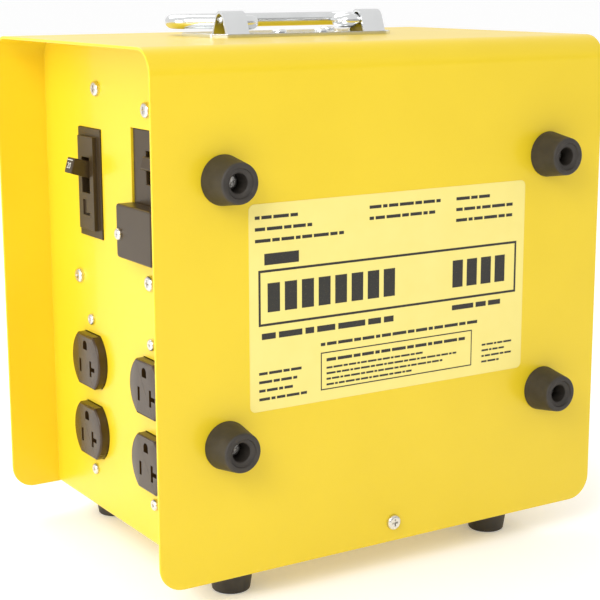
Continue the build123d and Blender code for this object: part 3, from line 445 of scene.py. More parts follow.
def powder_coat():
    """Glossy yellow powder coat with its fine peel and a faint cloudiness."""
    coat = Finish("yellow_powder_coat", Coat_Weight=0.15, Coat_Roughness=0.08, IOR=1.42)
    cloud = coat.noise(60 * MM, 3)
    peel = coat.noise(2.2 * MM, 2)
    grain = coat.noise(0.5 * MM, 2)
    tone = coat.spread(cloud * 0.7 + grain * 0.3, 0.3, 0.7)
    coat.feed("Base Color", coat.blend(tone, (0.79, 0.570, 0.016), (0.83, 0.605, 0.021)))
    coat.feed("Roughness", 0.30 + 0.10 * grain)
    coat.relief(peel + 0.2 * grain, 0.012 * MM)
    return coat.material


def label_film():
    """Satin pale film, a little uneven where it is pressed on."""
    film = Finish("label_film", Coat_Weight=0.15, Coat_Roughness=0.2)
    press = film.noise(14 * MM, 2)
    fibre = film.noise(0.6 * MM, 2)
    film.feed("Base Color", film.blend(press, (0.86, 0.72, 0.19), (0.89, 0.76, 0.23)))
    film.feed("Roughness", 0.34 + 0.12 * fibre)
    film.relief(press + 0.1 * fibre, 0.010 * MM)
    return film.material


def printing_ink():
    """Dense matt ink, thin in pinholes."""
    ink = Finish("printing_ink")
    speck = ink.noise(0.35 * MM, 2)
    pinhole = ink.spread(speck, 0.62, 0.72)
    ink.feed("Base Color", ink.blend(pinhole, (0.018, 0.016, 0.012), (0.10, 0.085, 0.03)))
    ink.feed("Roughness", 0.42 + 0.15 * speck)
    return ink.material


def moulded_rubber():
    """Dark rubber with a fine matt skin and a dusty bloom."""
    rubber = Finish("moulded_rubber", IOR=1.5)
    bloom = rubber.noise(6 * MM, 4)
    skin = rubber.noise(0.35 * MM, 2)
    dust = rubber.spread(bloom, 0.35, 0.7)
    rubber.feed("Base Color", rubber.blend(dust, (0.024, 0.019, 0.014), (0.040, 0.032, 0.024)))
    rubber.feed("Roughness", 0.46 + 0.16 * skin + 0.08 * bloom)
    rubber.relief(skin, 0.02 * MM)
    return rubber.material


def moulded_plastic(name, dark, light, roughness, grain_depth, coat):
    """A moulded plastic: faint flow clouds, and the mould's texture in its gloss and relief."""
    plastic = Finish(name, Coat_Weight=coat, Coat_Roughness=0.15, Specular_IOR_Level=0.32)
    flow = plastic.noise(9 * MM, 3)
    grain = plastic.noise(0.25 * MM, 2)
    plastic.feed("Base Color", plastic.blend(flow, dark, light))
    plastic.feed("Roughness", roughness - 0.05 + 0.12 * grain)
    plastic.relief(grain + flow * 0.5, grain_depth)
    return plastic.material


def zinc_plating():
    """Bright zinc over rolled steel: soft clouds and faint drawn lines."""
    zinc = Finish("zinc_plating", Metallic=1.0)
    drawn = zinc.noise(1.0, 3, where=zinc.stretched(50, 900, 900))
    cloud = zinc.noise(14 * MM, 3)
    zinc.feed("Base Color", zinc.blend(cloud, (0.86, 0.87, 0.87), (0.74, 0.75, 0.75)))
    zinc.feed("Roughness", 0.10 + 0.12 * cloud + 0.06 * drawn)
    zinc.relief(drawn, 0.001 * MM)
    return zinc.material


def plated_steel():
    """Nickel-plated screw steel with fine turning marks."""
    steel = Finish("plated_steel", Metallic=1.0)
    mark = steel.noise(0.4 * MM, 3)
    tarnish = steel.noise(2 * MM, 3)
    steel.feed("Base Color", steel.blend(tarnish, (0.66, 0.63, 0.58), (0.80, 0.78, 0.74)))
    steel.feed("Roughness", 0.18 + 0.20 * mark)
    steel.relief(mark, 0.02 * MM)
    return steel.material


def galvanised_steel():
    """Dull galvanised steel with its spangle."""
    steel = Finish("galvanised_steel", Metallic=1.0)
    spangle = steel.cells(4 * MM)
    scratch = steel.noise(1.0, 2, where=steel.stretched(2500, 160, 160))
    steel.feed("Base Color", steel.blend(spangle, (0.50, 0.52, 0.54), (0.68, 0.69, 0.70)))
    steel.feed("Roughness", 0.30 + 0.18 * spangle + 0.08 * scratch)
    steel.relief(scratch, 0.01 * MM)
    return steel.material


def rolled_brass():
    """Brass with rolled lines and a light tarnish."""
    brass = Finish("rolled_brass", Metallic=1.0)
    tarnish = brass.noise(5 * MM, 4)
    line = brass.noise(1.0, 2, where=brass.stretched(120, 1800, 1800))
    brass.feed("Base Color", brass.blend(tarnish, (0.62, 0.42, 0.14), (0.84, 0.64, 0.30)))
    brass.feed("Roughness", 0.22 + 0.15 * tarnish + 0.08 * line)
    brass.relief(line, 0.01 * MM)
    return brass.material


PLASTICS = {       # slot: dark, light, roughness, relief in mm, coat
    "brown_nylon": ((0.040, 0.021, 0.007), (0.050, 0.028, 0.010), 0.22, 0.004, 0.2),
    # the phenolic is near black; the brown tint in both its colours is a painted reflection of the yellow steel
    # around it
    "black_phenolic": ((0.040, 0.025, 0.010), (0.052, 0.034, 0.015), 0.32, 0.01, 0),
    "inlet_nylon": ((0.016, 0.016, 0.017), (0.026, 0.026, 0.027), 0.36, 0.03, 0),
    "black_wire": ((0.012, 0.012, 0.012), (0.020, 0.020, 0.020), 0.32, 0.01, 0),
    "red_wire": ((0.45, 0.02, 0.015), (0.55, 0.03, 0.02), 0.32, 0.01, 0),
    "white_wire": ((0.66, 0.65, 0.61), (0.74, 0.73, 0.69), 0.34, 0.01, 0),
    "green_wire": ((0.015, 0.20, 0.05), (0.02, 0.26, 0.07), 0.34, 0.01, 0),
    "red_button": ((0.42, 0.02, 0.015), (0.52, 0.03, 0.02), 0.26, 0.006, 0.3),
    "mark_paint": ((0.66, 0.64, 0.56), (0.74, 0.72, 0.66), 0.45, 0.01, 0),
}
FINISHES = {
    "yellow_steel": powder_coat(),
    "label_film": label_film(),
    "black_rubber": moulded_rubber(),
    "zinc_plate": zinc_plating(),
    "screw_steel": plated_steel(),
    "brass": rolled_brass(),
    "galvanised": galvanised_steel(),
    "ink": printing_ink(),
}
for plastic_name, (dark, light, gloss, depth, coat) in PLASTICS.items():
    FINISHES[plastic_name] = moulded_plastic(plastic_name, dark, light, gloss, depth * MM, coat)


def fit(piece, slot, body, *nodes, finish=None):
    """Give a piece its finish, the slot's unless another is named, hang it on its body, and hide the CAD nodes
    that it stands for.
    """
    piece.data.materials.clear()
    piece.data.materials.append(FINISHES[finish or slot])
    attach(piece, body)
    if nodes:
        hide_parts(*nodes)


# ---------------------------------------------------------------------------------------------
# Sheet-metal cover and the label on it
# ---------------------------------------------------------------------------------------------
def cover_shell():
    """The folded cover: front, top and back in one sheet, with rounded lower corners."""
    low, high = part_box("outer_cover")
    cover = block("cover_shell", low, high)
    shape(cover)
    pick(cover, "FACE", lambda face: face.normal.z < -0.9 or abs(face.normal.x) > 0.9)
    bpy.ops.mesh.delete(type="FACE")
    pick(cover, "EDGE", crest(high.z))
    bpy.ops.mesh.bevel(offset=BEND_R, segments=16)
    pick(cover, "VERT", lambda vert: vert.co.z < low.z + HAIR)
    bpy.ops.mesh.bevel(offset=CORNER_R, segments=10, affect="VERTICES")
    done()
    apply(cover, "SOLIDIFY", thickness=SHEET, offset=-1, use_even_offset=True)
    soften(cover, COAT_R, 3)
    fit(cover, "yellow_steel", "box", "outer_cover")


def label_panel():
    """The label film, its corners rounded."""
    low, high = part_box("rating_label")
    film = block("label_panel", low, high)
    shape(film)
    pick(film, "EDGE", along(BACK))
    bpy.ops.mesh.bevel(offset=LABEL_CORNER_R, segments=8)
    done()
    smooth(film)
    fit(film, "label_film", "box", "rating_label")


def ink_patch(left, right, bottom, top):
    """One patch of ink, given as shares of the label's width and height."""
    low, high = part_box("rating_label")
    size = high - low
    return block("patch", (low.x + left * size.x, low.y - INK_T, low.z + bottom * size.z),
                 (low.x + right * size.x, low.y - HAIR / 4, low.z + top * size.z))


def ink_frame(left, right, bottom, top, line):
    """A ruled frame. Line is its thickness as a share of the label's height."""
    aside = line * 0.6
    return [
        ink_patch(left, right, top - line, top),
        ink_patch(left, right, bottom, bottom + line),
        ink_patch(left, left + aside, bottom + line, top - line),
        ink_patch(right - aside, right, bottom + line, top - line),
    ]


def ink_line(left, right, level, height, seed):
    """A line of plain dashes of uneven length, where a line of print would be."""
    dashes = []
    at, count = left, seed
    while at < right - height:
        dash = height * (1.0 + 0.55 * (count * 7 % 5))
        dashes.append(ink_patch(at, min(at + dash, right), level - height / 2, level + height / 2))
        at += dash + height * 0.35
        count += 1
    return dashes


def ink_blocks(left, right, bottom, top, count):
    """A row of even plain blocks where large print would be."""
    pitch = (right - left) / count
    starts = [left + pitch * column for column in range(count)]
    return [ink_patch(start, start + pitch * 0.72, bottom, top) for start in starts]


def label_print():
    """Plain dashes and ruled frames in place of the label's print."""
    small, tiny = 0.016, 0.010
    marks = []
    for row in range(3):
        marks += ink_line(0.02, (0.17, 0.23, 0.32)[row], 0.935 - 0.055 * row, small, row)
        marks += ink_line(0.73, (0.88, 0.97, 0.95)[row], 0.935 - 0.055 * row, small, row + 2)
    for row in range(2):
        marks += ink_line(0.41, (0.68, 0.65)[row], 0.935 - 0.055 * row, small, row + 4)
    marks += ink_line(0.05, 0.18, 0.735, 0.055, 1)
    marks += ink_frame(0.03, 0.97, 0.415, 0.685, 0.012)
    marks += ink_blocks(0.06, 0.52, 0.48, 0.62, 8) + ink_blocks(0.72, 0.94, 0.48, 0.62, 4)
    marks += ink_line(0.04, 0.50, 0.365, 0.030, 3)
    marks += ink_line(0.72, 0.91, 0.375, 0.026, 2)
    marks += ink_line(0.24, 0.82, 0.285, small, 5)
    marks += ink_frame(0.24, 0.80, 0.055, 0.245, 0.006)
    marks += ink_line(0.26, 0.78, 0.205, small, 1)
    for row in range(4):
        marks += ink_line(0.26, (0.62, 0.74, 0.70, 0.58)[row], 0.165 - 0.028 * row, tiny, row + 6)
        marks += ink_line(0.03, (0.19, 0.17, 0.15, 0.20)[row], 0.185 - 0.042 * row, small * 0.85, row + 1)
        marks += ink_line(0.84, (0.96, 0.93, 0.97, 0.91)[row], 0.155 - 0.030 * row, tiny, row + 3)
    fit(weld("label_print", *marks), "label_film", "box", finish="ink")


# ---------------------------------------------------------------------------------------------
# Rubber feet
# ---------------------------------------------------------------------------------------------
def rubber_foot(node, way):
    """A tapered rubber foot with a stepped mouth and a deep screw well."""
    foot = turned(f"rubber_{node}", middle_of(node) - way * FOOT_LENGTH / 2, way,
                  FOOT_BASE_R, FOOT_LENGTH, FOOT_TIP_R, sides=72)
    tip = (middle_of(node) + way * FOOT_LENGTH / 2).dot(way)
    shape(foot)
    pick(foot, "FACE", facing(way, tip))
    bpy.ops.mesh.bevel(offset=1.0 * MM, segments=5)
    pick(foot, "FACE", facing(way, tip))
    bpy.ops.mesh.inset(thickness=FOOT_LIP)
    for inset, drop in FOOT_STEPS:
        step_in(inset, way * -drop)
    push(way * (FOOT_FLOOR + sum(drop for _, drop in FOOT_STEPS) - FOOT_LENGTH))
    pick(foot, "FACE", facing(-way))
    bpy.ops.mesh.bevel(offset=0.4 * MM, segments=2)
    done()
    soften(foot, 0.14 * MM)
    fit(foot, "black_rubber", "box", node)


def rubber_feet():
    for node in BUMPERS:
        rubber_foot(node, FRONT)
    for node in BASE_FEET:
        rubber_foot(node, DOWN)


# ---------------------------------------------------------------------------------------------
# Pan-head screws
# ---------------------------------------------------------------------------------------------
def pan_head(name, radius, height, shank_r, length):
    """A cross-recess pan-head screw whose seat is at the origin."""
    screw = turned(name, Vector(), UP, radius, height, sides=40)
    shape(screw)
    pick(screw, "FACE", facing(UP))
    bpy.ops.mesh.bevel(offset=height * HEAD_DOME, segments=6)
    pick(screw, "FACE", facing(DOWN))
    bpy.ops.mesh.inset(thickness=radius - shank_r)
    push(DOWN * length)
    done()
    wing, web, floor = radius * CROSS_WING, radius * CROSS_WEB, height * CROSS_FLOOR
    recess = weld("recess", block("wing", (-wing, -web, floor), (wing, web, height * 2)),
                  block("wing", (-web, -wing, floor), (web, wing, height * 2)))
    shape(recess)
    pick(recess, "FACE", facing(DOWN))
    bpy.ops.transform.resize(value=(CROSS_TAPER, CROSS_TAPER, 1), center_override=(0, 0, floor))
    done()
    cut(screw, recess)
    return soften(screw, 0.07 * MM)


def screw_set(name, node, master, seats, way):
    """Copies of a screw on their seats."""
    screws = [copied(master, f"{name}_{count}", seat, way) for count, seat in enumerate(seats)]
    fit(weld(name, *screws), "screw_steel", "box", node)


def foot_seats(nodes, way):
    """Where the screws sit at the bottom of the feet's wells."""
    seats = []
    for node in nodes:
        low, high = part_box(node)
        reach = abs((high - low).dot(way)) / 2
        seats.append((low + high) / 2 + way * (reach - (FOOT_LENGTH - FOOT_FLOOR)))
    return seats


def box_screws():
    """Every screw head that shows."""
    panel = pan_head("panel_master", *PANEL_SCREW, 10 * MM)
    small = pan_head("small_master", *SMALL_SCREW, 8 * MM)
    screw_set("bumper_screw_heads", "bumper_screws", panel, foot_seats(BUMPERS, FRONT), FRONT)
    screw_set("foot_screw_heads", "foot_screws", panel, foot_seats(BASE_FEET, DOWN), DOWN)

    low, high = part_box("outer_cover")
    screw_z = low.z + COVER_SCREW_UP
    front_screw = copied(panel, "front_screw", (0, low.y, screw_z), FRONT)
    back_screw = copied(panel, "back_screw", (0, high.y, screw_z), BACK)
    fit(weld("cover_screw_heads", front_screw, back_screw), "screw_steel", "box", "cover_screws")

    columns = [middle_of(f"{column}_duplex_body") for column in ("rear", "front")]
    seats = [(PANEL_X, column.y, column.z + side * DUPLEX_SCREW_PITCH / 2)
             for column in columns for side in (1, -1)]
    screw_set("duplex_screw_heads", "duplex_screws", small, seats, LEFT)

    branch, main = middle_of("branch_breaker_case"), middle_of("main_breaker_case")
    cases = ((branch, BRANCH_SCREWS), (main, MAIN_SCREWS))
    seats = [(PANEL_X, case.y + across, case.z + up) for case, screws in cases for across, up in screws]
    screw_set("breaker_screw_heads", "breaker_screws", panel, seats, LEFT)

    low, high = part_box("terminal_cover_screw")
    middle = (low + high) / 2
    screw_set("terminal_cover_screw_head", "terminal_cover_screw", small,
              [(low.x + SMALL_SCREW[1], middle.y, middle.z)], LEFT)

    inlet = middle_of("inlet_gasket")
    flange_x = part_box("inlet_screws")[1].x - PANEL_SCREW[1]
    seats = [(flange_x, inlet.y + across * INLET_SCREW_OUT, inlet.z + up * INLET_SCREW_OUT)
             for across in (-1, 1) for up in (-1, 1)]
    screw_set("inlet_screw_heads", "inlet_screws", panel, seats, RIGHT)
    scrap(panel, small)


# ---------------------------------------------------------------------------------------------
# Duplex receptacles
# ---------------------------------------------------------------------------------------------
def slot_block(face, across, up, width, height):
    """A cutter for one slot of a receptacle face. Across is towards the front."""
    return around("slot", face + FRONT * across + UP * up, Vector((SLOT_DEPTH, width / 2, height / 2)))


def faceted_mouths(face):
    """Cut the flat front into triangles and shade the face's flats and slots flat."""
    shape(face)
    pick(face, "FACE", facing(LEFT))
    bpy.ops.mesh.quads_convert_to_tris(ngon_method="BEAUTY")
    bpy.ops.mesh.select_all(action="SELECT")
    bpy.ops.mesh.faces_shade_flat()
    done()
    if face.data.has_custom_normals:
        bpy.ops.mesh.customdata_custom_splitnormals_clear()
    take(face)
    bpy.ops.object.shade_smooth_by_angle(angle=MOUTH_ANGLE)


def receptacle_face(name, middle):
    """One 20 A face: a disc with flats above and below, a T slot, a straight slot and a ground hole."""
    depth = PANEL_X + SHEET - middle.x
    face = turned(name, middle + RIGHT * depth, LEFT, FACE_R, depth, sides=96)
    shape(face)
    for side in (-1, 1):
        bpy.ops.mesh.select_all(action="SELECT")
        bpy.ops.mesh.bisect(plane_co=middle + UP * side * FACE_FLAT / 2, plane_no=UP * side,
                            clear_outer=True, use_fill=True)
    pick(face, "FACE", facing(LEFT))
    bpy.ops.mesh.bevel(offset=FACE_EDGE_R, segments=4)
    done()
    smooth(face)
    cut(face, slot_block(middle, -BLADE_OUT, -BLADE_DOWN, *HOT_SLOT))
    cut(face, slot_block(middle, BLADE_OUT, -BLADE_DOWN, *NEUTRAL_SLOT))
    cut(face, slot_block(middle, T_LEG_OUT, -BLADE_DOWN, *T_LEG))
    cut(face, turned("ground", middle + RIGHT * SLOT_DEPTH + UP * GROUND_UP, LEFT, GROUND_R, 2 * SLOT_DEPTH,
                     sides=32))
    cut(face, slot_block(middle, 0, GROUND_UP - GROUND_R / 2, 2 * GROUND_R, GROUND_R))
    faceted_mouths(face)
    return face


def duplex(column):
    """A duplex receptacle's moulding: its body behind the panel and two faces through it."""
    node = f"{column}_duplex_body"
    low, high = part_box(node)
    middle = (low + high) / 2
    body = block(f"{node}_back", (PANEL_X + SHEET + 0.05 * MM, low.y, low.z), high)
    shape(body)
    pick(body, "EDGE", along(RIGHT))
    bpy.ops.mesh.bevel(offset=BODY_CORNER_R, segments=5)
    done()
    soften(body, 0.4 * MM)
    faces = []
    for row in (1, -1):
        place = Vector((low.x, middle.y, middle.z + row * FACE_PITCH / 2))
        faces.append(receptacle_face("face", place))
    fit(weld(f"{column}_duplex_moulding", body, *faces), "brown_nylon", "box", node)


# ---------------------------------------------------------------------------------------------
# Breakers
# ---------------------------------------------------------------------------------------------
def branch_breaker():
    """The one-pole breaker: its case, flange, raised face and the window under the toggle."""
    node = "branch_breaker_case"
    low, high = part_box(node)
    middle = (low + high) / 2
    case = block("branch_back", (PANEL_X + SHEET + BRACKET_T, low.y, low.z), high)
    soften(case, 1.2 * MM, 3)
    flange_x = PANEL_X - BRANCH_FLANGE_PROUD
    half = Vector((0, BRANCH_FLANGE[0] / 2, BRANCH_FLANGE[1] / 2))
    front = block("branch_front", Vector((flange_x, middle.y, middle.z)) - half,
                  Vector((PANEL_X + SHEET + BRACKET_T, middle.y, middle.z)) + half)
    shape(front)
    pick(front, "FACE", facing(LEFT))
    bpy.ops.mesh.inset(thickness=BRANCH_RIM)
    push(LEFT * (flange_x - low.x))
    done()
    pivot = joint_place("branch_toggle_throw")
    cut(front, around("recess", Vector((low.x, pivot.y, pivot.z)), Vector(BRANCH_RECESS)))
    for across, up, width, height in BRANCH_WINDOWS:
        place = Vector((low.x, middle.y + across * MM, middle.z + up * MM))
        cut(front, around("window", place, Vector((1.0 * MM, width * MM / 2, height * MM / 2))))
    soften(front, 0.6 * MM, 3)
    fit(weld("branch_breaker_moulding", case, front), "black_phenolic", "box", node)


def lever(name, node, joint, body, size):
    """A breaker lever: a tapered blade on a round hub, tilted to ON."""
    reach, width, tip_h, root_h = size
    pivot = joint_place(joint)
    blade = block("blade", pivot - Vector((reach, width / 2, root_h / 2)),
                  pivot + Vector((0, width / 2, root_h / 2)))
    shape(blade)
    pick(blade, "FACE", facing(LEFT))
    bpy.ops.transform.resize(value=(1, 1, tip_h / root_h), center_override=pivot)
    pick(blade, "FACE", facing(LEFT))
    bpy.ops.mesh.bevel(offset=0.9 * MM, segments=4)
    done()
    hub = turned("hub", pivot + FRONT * width / 2, BACK, HUB_R[joint], width, sides=48)
    whole = weld(name, blade, hub)
    take(whole)
    bpy.ops.transform.rotate(value=-LEVER_TILT, orient_axis="Y", center_override=pivot)
    soften(whole, 0.25 * MM)
    fit(whole, "black_phenolic", body, node)


def toggle_marks():
    """The number 20 on the toggle's end, and a thin line painted across its upper side."""
    pivot = joint_place("branch_toggle_throw")
    reach, width, tip_h, root_h = TOGGLE
    clear_selection()
    bpy.ops.object.text_add(location=pivot + LEFT * (reach - 0.02 * MM) + DOWN * 0.3 * MM,
                            rotation=(math.radians(90), 0, math.radians(-90)))
    text = bpy.context.object.data
    text.body, text.size, text.extrude = "20", 4.4 * MM, 0.05 * MM
    text.align_x = text.align_y = "CENTER"
    bpy.ops.object.convert(target="MESH")
    number = settle("number")
    line = block("line", pivot + Vector((-reach - 0.04 * MM, -width / 2 + 0.9 * MM, tip_h / 2 - 1.5 * MM)),
                 pivot + Vector((-reach + 0.2 * MM, width / 2 - 0.9 * MM, tip_h / 2 - 1.1 * MM)))
    marks = weld("toggle_marks", line, number)
    take(marks)
    bpy.ops.transform.rotate(value=-LEVER_TILT, orient_axis="Y", center_override=pivot)
    fit(marks, "black_phenolic", "branch_toggle", finish="mark_paint")


def main_breaker():
    """The two-pole breaker: its case and the face that fills the panel's opening."""
    node = "main_breaker_case"
    low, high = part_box(node)
    middle = (low + high) / 2
    case = block("main_back", (PANEL_X + SHEET + BRACKET_T, low.y, low.z), high)
    soften(case, 1.2 * MM, 3)
    half = Vector((0, MAIN_FACE[0] / 2, MAIN_FACE[1] / 2))
    front = block("main_front", Vector((low.x, middle.y, middle.z)) - half,
                  Vector((PANEL_X + SHEET + BRACKET_T, middle.y, middle.z)) + half)
    pivot = joint_place("main_lever_throw")
    cut(front, around("recess", Vector((low.x, pivot.y, pivot.z)), Vector(MAIN_RECESS)))
    button = middle_of("test_button")
    cut(front, around("well", Vector((low.x, button.y, button.z)), Vector(BUTTON_WELL)))
    soften(front, 0.45 * MM, 3)
    fit(weld("main_breaker_moulding", case, front), "black_phenolic", "box", node)


def terminal_box():
    """The boxed terminal cover below the main breaker's lever."""
    node = "terminal_cover"
    low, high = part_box(node)
    lid = block("terminal_lid", low, (PANEL_X - 0.15 * MM, high.y, high.z))
    shape(lid)
    pick(lid, "EDGE", along(RIGHT))
    bpy.ops.mesh.bevel(offset=1.8 * MM, segments=4)
    pick(lid, "FACE", facing(LEFT))
    bpy.ops.mesh.bevel(offset=1.0 * MM, segments=4)
    pick(lid, "FACE", facing(RIGHT))
    bpy.ops.mesh.inset(thickness=LID_WALL)
    push(LEFT * (PANEL_X - low.x - LID_FACE))
    done()
    soften(lid, 0.2 * MM)
    fit(lid, "black_phenolic", "box", node)


# ---------------------------------------------------------------------------------------------
# Carrying handle
# ---------------------------------------------------------------------------------------------
def tunnel(side):
    """A stamped tunnel: an arched strip over the bail's rod."""
    low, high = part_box("handle_plate")
    hinge = joint_place("bail_fold")
    ends = sorted(side * x for x in TUNNEL_SPAN)
    arch = block("tunnel", (ends[0], hinge.y - TUNNEL_FOOT, low.z), (ends[1], hinge.y + TUNNEL_FOOT, high.z))
    shape(arch)
    pick(arch, "FACE", facing(UP))
    bpy.ops.transform.resize(value=(1, TUNNEL_CREST / TUNNEL_FOOT, 1), center_override=hinge)
    pick(arch, "FACE", lambda face: abs(face.normal.x) > 0.9 or face.normal.z < -0.9)
    bpy.ops.mesh.delete(type="FACE")
    pick(arch, "EDGE", crest(high.z))
    bpy.ops.mesh.bevel(offset=TUNNEL_BEND_R, segments=8)
    done()
    apply(arch, "SOLIDIFY", thickness=TUNNEL_WALL, offset=-1, use_even_offset=True)
    return arch


def handle_plate():
    """The stamped handle plate with cut corners, two tunnels and the openings under them."""
    node = "handle_plate"
    low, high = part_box(node)
    hinge = joint_place("bail_fold")
    plate = block("plate", low, (high.x, high.y, low.z + PLATE_T))
    shape(plate)
    pick(plate, "EDGE", along(UP))
    bpy.ops.mesh.bevel(offset=PLATE_CUT, segments=1)
    pick(plate, "EDGE", along(UP))
    bpy.ops.mesh.bevel(offset=PLATE_CORNER_R, segments=4)
    done()
    for side in (-1, 1):
        ends = sorted(side * x for x in TUNNEL_SPAN)
        gap = TUNNEL_FOOT - TUNNEL_WALL
        cut(plate, block("gap", (ends[0], hinge.y - gap, low.z - MM), (ends[1], hinge.y + gap, high.z)))
    whole = weld("handle_plate_stamping", plate, tunnel(-1), tunnel(1))
    soften(whole, 0.3 * MM)
    fit(whole, "zinc_plate", "box", node)


def arc_at(before, corner, after, radius):
    """Where a bend starts, its centre, and its angle as Spin counts it, clockwise from above."""
    to_before, to_after = (before - corner).normalized(), (after - corner).normalized()
    inside = to_before.angle(to_after)
    setback = radius / math.tan(inside / 2)
    centre = corner + (to_before + to_after).normalized() * radius / math.sin(inside / 2)
    turn = (math.pi - inside) * (1 if to_before.cross(to_after).z > 0 else -1)
    return corner + to_before * setback, centre, turn


def bail():
    """The bail: half of the rod is drawn along its bends, then mirrored."""
    hinge = joint_place("bail_fold")
    corners = [hinge + Vector(point) * MM for point in BAIL_CORNERS]
    clear_selection()
    bpy.ops.mesh.primitive_circle_add(vertices=28, radius=ROD_R, location=corners[0],
                                      rotation=(0, math.pi / 2, 0), fill_type="NOTHING")
    rod = settle("bail_rod")
    shape(rod)
    bpy.ops.mesh.select_mode(type="EDGE")
    bpy.ops.mesh.select_all(action="SELECT")
    at = corners[0]
    for before, corner, after, radius in zip(corners, corners[1:], corners[2:], BAIL_BENDS):
        start, centre, turn = arc_at(before, corner, after, radius)
        push(start - at)
        bpy.ops.mesh.spin(steps=14, angle=turn, center=centre, axis=(0, 0, 1))
        at = corner + (after - corner).normalized() * (start - corner).length
    push(corners[-1] - at)
    bpy.ops.mesh.select_all(action="SELECT")
    bpy.ops.mesh.remove_doubles(threshold=HAIR)
    pick(rod, "EDGE", lambda edge: edge.is_boundary and abs(edge.verts[0].co.x - corners[0].x) < HAIR)
    bpy.ops.mesh.edge_face_add()
    done()
    apply(rod, "MIRROR", use_axis=(True, False, False), merge_threshold=HAIR)
    shape(rod)
    bpy.ops.mesh.select_all(action="SELECT")
    bpy.ops.mesh.normals_make_consistent(inside=False)
    done()
    soften(rod, 0.7 * MM, 3, angle=60)
    fit(rod, "zinc_plate", "bail", "handle_bail")


def rivets():
    """Four domed rivets that hold the handle plate."""
    low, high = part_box("handle_rivets")
    plate_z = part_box("handle_plate")[0].z + PLATE_T
    hinge = joint_place("bail_fold")
    head = turned("rivet_master", Vector(), UP, RIVET_HEAD_R, high.z - plate_z, sides=40)
    shape(head)
    pick(head, "FACE", facing(UP))
    bpy.ops.mesh.bevel(offset=RIVET_DOME, segments=5)
    pick(head, "FACE", facing(DOWN))
    bpy.ops.mesh.inset(thickness=RIVET_HEAD_R - RIVET_SHANK_R)
    push(DOWN * (plate_z - low.z))
    done()
    smooth(head)
    seats = [(side * out, hinge.y + behind, plate_z) for out, behind in RIVET_PAIRS for side in (-1, 1)]
    heads = [copied(head, f"rivet_{count}", seat) for count, seat in enumerate(seats)]
    scrap(head)
    fit(weld("rivet_heads", *heads), "zinc_plate", "box", "handle_rivets")


# ---------------------------------------------------------------------------------------------
# Pieces that keep the frame's shapes
# ---------------------------------------------------------------------------------------------
SOFTENED = {
    "chassis": ("chassis_sheet", 0.25),
    "inlet_gasket": ("inlet_seal", 0.2),
    "inlet_flange": ("inlet_housing", 0.25),
    "inlet_body": ("inlet_socket_body", 0.3),
    "inlet_blades": ("inlet_blade_set", 0.25),
    "inlet_lid": ("inlet_cap", 0.2),
    "inlet_hinge_pin": ("inlet_pin", 0.1),
    "inlet_lid_spring": ("inlet_cap_spring", 0),
    "test_button": ("test_button_cap", 0.1),
    "black_wires": ("black_wire_run", 0),
    "red_wires": ("red_wire_run", 0),
    "white_wires": ("white_wire_run", 0),
    "green_wires": ("green_wire_run", 0),
    "neutral_bar": ("neutral_bar_body", 0.2),
    "ground_bar": ("ground_bar_body", 0.2),
}


def frame_pieces():
    """Softened copies of frame nodes, and a finish on every node that stays as it is."""
    slots = {part["node"]: part["material_slot"] for part in frame["record"]["subparts"]}
    bodies = {node: body for body, nodes in frame["record"]["behaviour"]["bodies"].items() for node in nodes}
    for node, (name, width) in SOFTENED.items():
        fit(from_frame(name, node, width * MM), slots[node], bodies[node], node)
    for node, piece in frame["nodes"].items():
        piece.data.materials.clear()
        piece.data.materials.append(FINISHES[slots[node]])


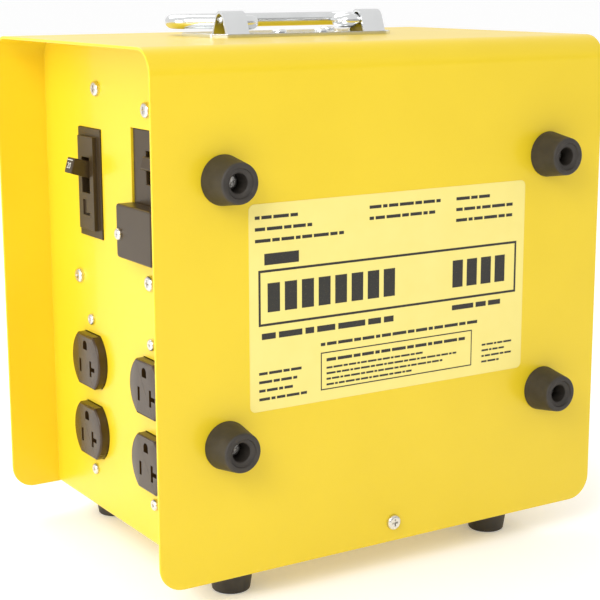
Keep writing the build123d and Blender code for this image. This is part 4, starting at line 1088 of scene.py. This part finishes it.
# ---------------------------------------------------------------------------------------------
# Studio
# ---------------------------------------------------------------------------------------------
def sky():
    """A white sky. All but the camera see a grey band low at its front, so that metal has edges."""
    world = bpy.data.worlds.new("studio_sky")
    dome = Graph(world)
    way = dome.node("ShaderNodeTexCoord", output="Generated")
    height, depth = [dome.node("ShaderNodeSeparateXYZ", inputs={0: way}, output=axis) for axis in "ZY"]
    low = dome.node("ShaderNodeMapRange", inputs={"Value": height, "From Min": 0.42, "From Max": 0.12})
    ahead = dome.node("ShaderNodeMapRange", inputs={"Value": depth, "From Min": -0.25, "From Max": -0.75})
    grey = dome.node("ShaderNodeMapRange", inputs={
        "Value": low * ahead, "To Min": SKY, "To Max": SKY * 0.25})
    soft = dome.node("ShaderNodeBackground", inputs={"Color": (1, 1, 1, 1), "Strength": grey})
    plain = dome.node("ShaderNodeBackground", inputs={"Color": (1, 1, 1, 1), "Strength": 1.0})
    seen = dome.node("ShaderNodeLightPath", output="Is Camera Ray")
    dome.show("ShaderNodeOutputWorld", dome.node("ShaderNodeMixShader", inputs={0: seen, 1: soft, 2: plain}))
    bpy.context.scene.world = world


def studio():
    """A white floor, a bright sky and soft panels of light, the strongest from above on the left."""
    clear_selection()
    bpy.ops.mesh.primitive_plane_add(size=60, location=(0, 0, 0))
    floor = settle("studio_floor")
    white = Finish("studio_white", Roughness=0.9, Emission_Color=(1, 1, 1, 1), Emission_Strength=0.22)
    white.feed("Base Color", white.blend(white.noise(0.5, 2), (0.90, 0.90, 0.90), (0.92, 0.92, 0.92)))
    floor.data.materials.append(white.material)
    sky()

    for name, place, size, power in LIGHTS:
        bpy.ops.object.light_add(type="AREA", location=place)
        light = bpy.context.object
        light.name = name
        light.data.size = size
        light.data.energy = power
        light.rotation_euler = (Vector(place) - BOX_MIDDLE).to_track_quat("Z", "Y").to_euler()


def camera():
    """The catalogue view: from the front and a little to the left, looking slightly down."""
    bpy.ops.object.camera_add(location=EYE, rotation=EYE_TURN)
    eye = bpy.context.object
    eye.data.sensor_width = 36
    eye.data.lens = LENS
    bpy.context.scene.camera = eye


cover_shell()
label_panel()
label_print()
rubber_feet()
box_screws()
duplex("rear")
duplex("front")
branch_breaker()
main_breaker()
lever("branch_toggle_blade", "branch_breaker_toggle", "branch_toggle_throw", "branch_toggle", TOGGLE)
toggle_marks()
lever("main_lever_blade", "main_breaker_handle", "main_lever_throw", "main_lever", MAIN_LEVER)
terminal_box()
handle_plate()
bail()
rivets()
frame_pieces()
studio()
camera()
bpy.context.scene.view_settings.view_transform = "Standard"

bpy.context.view_layer.update()
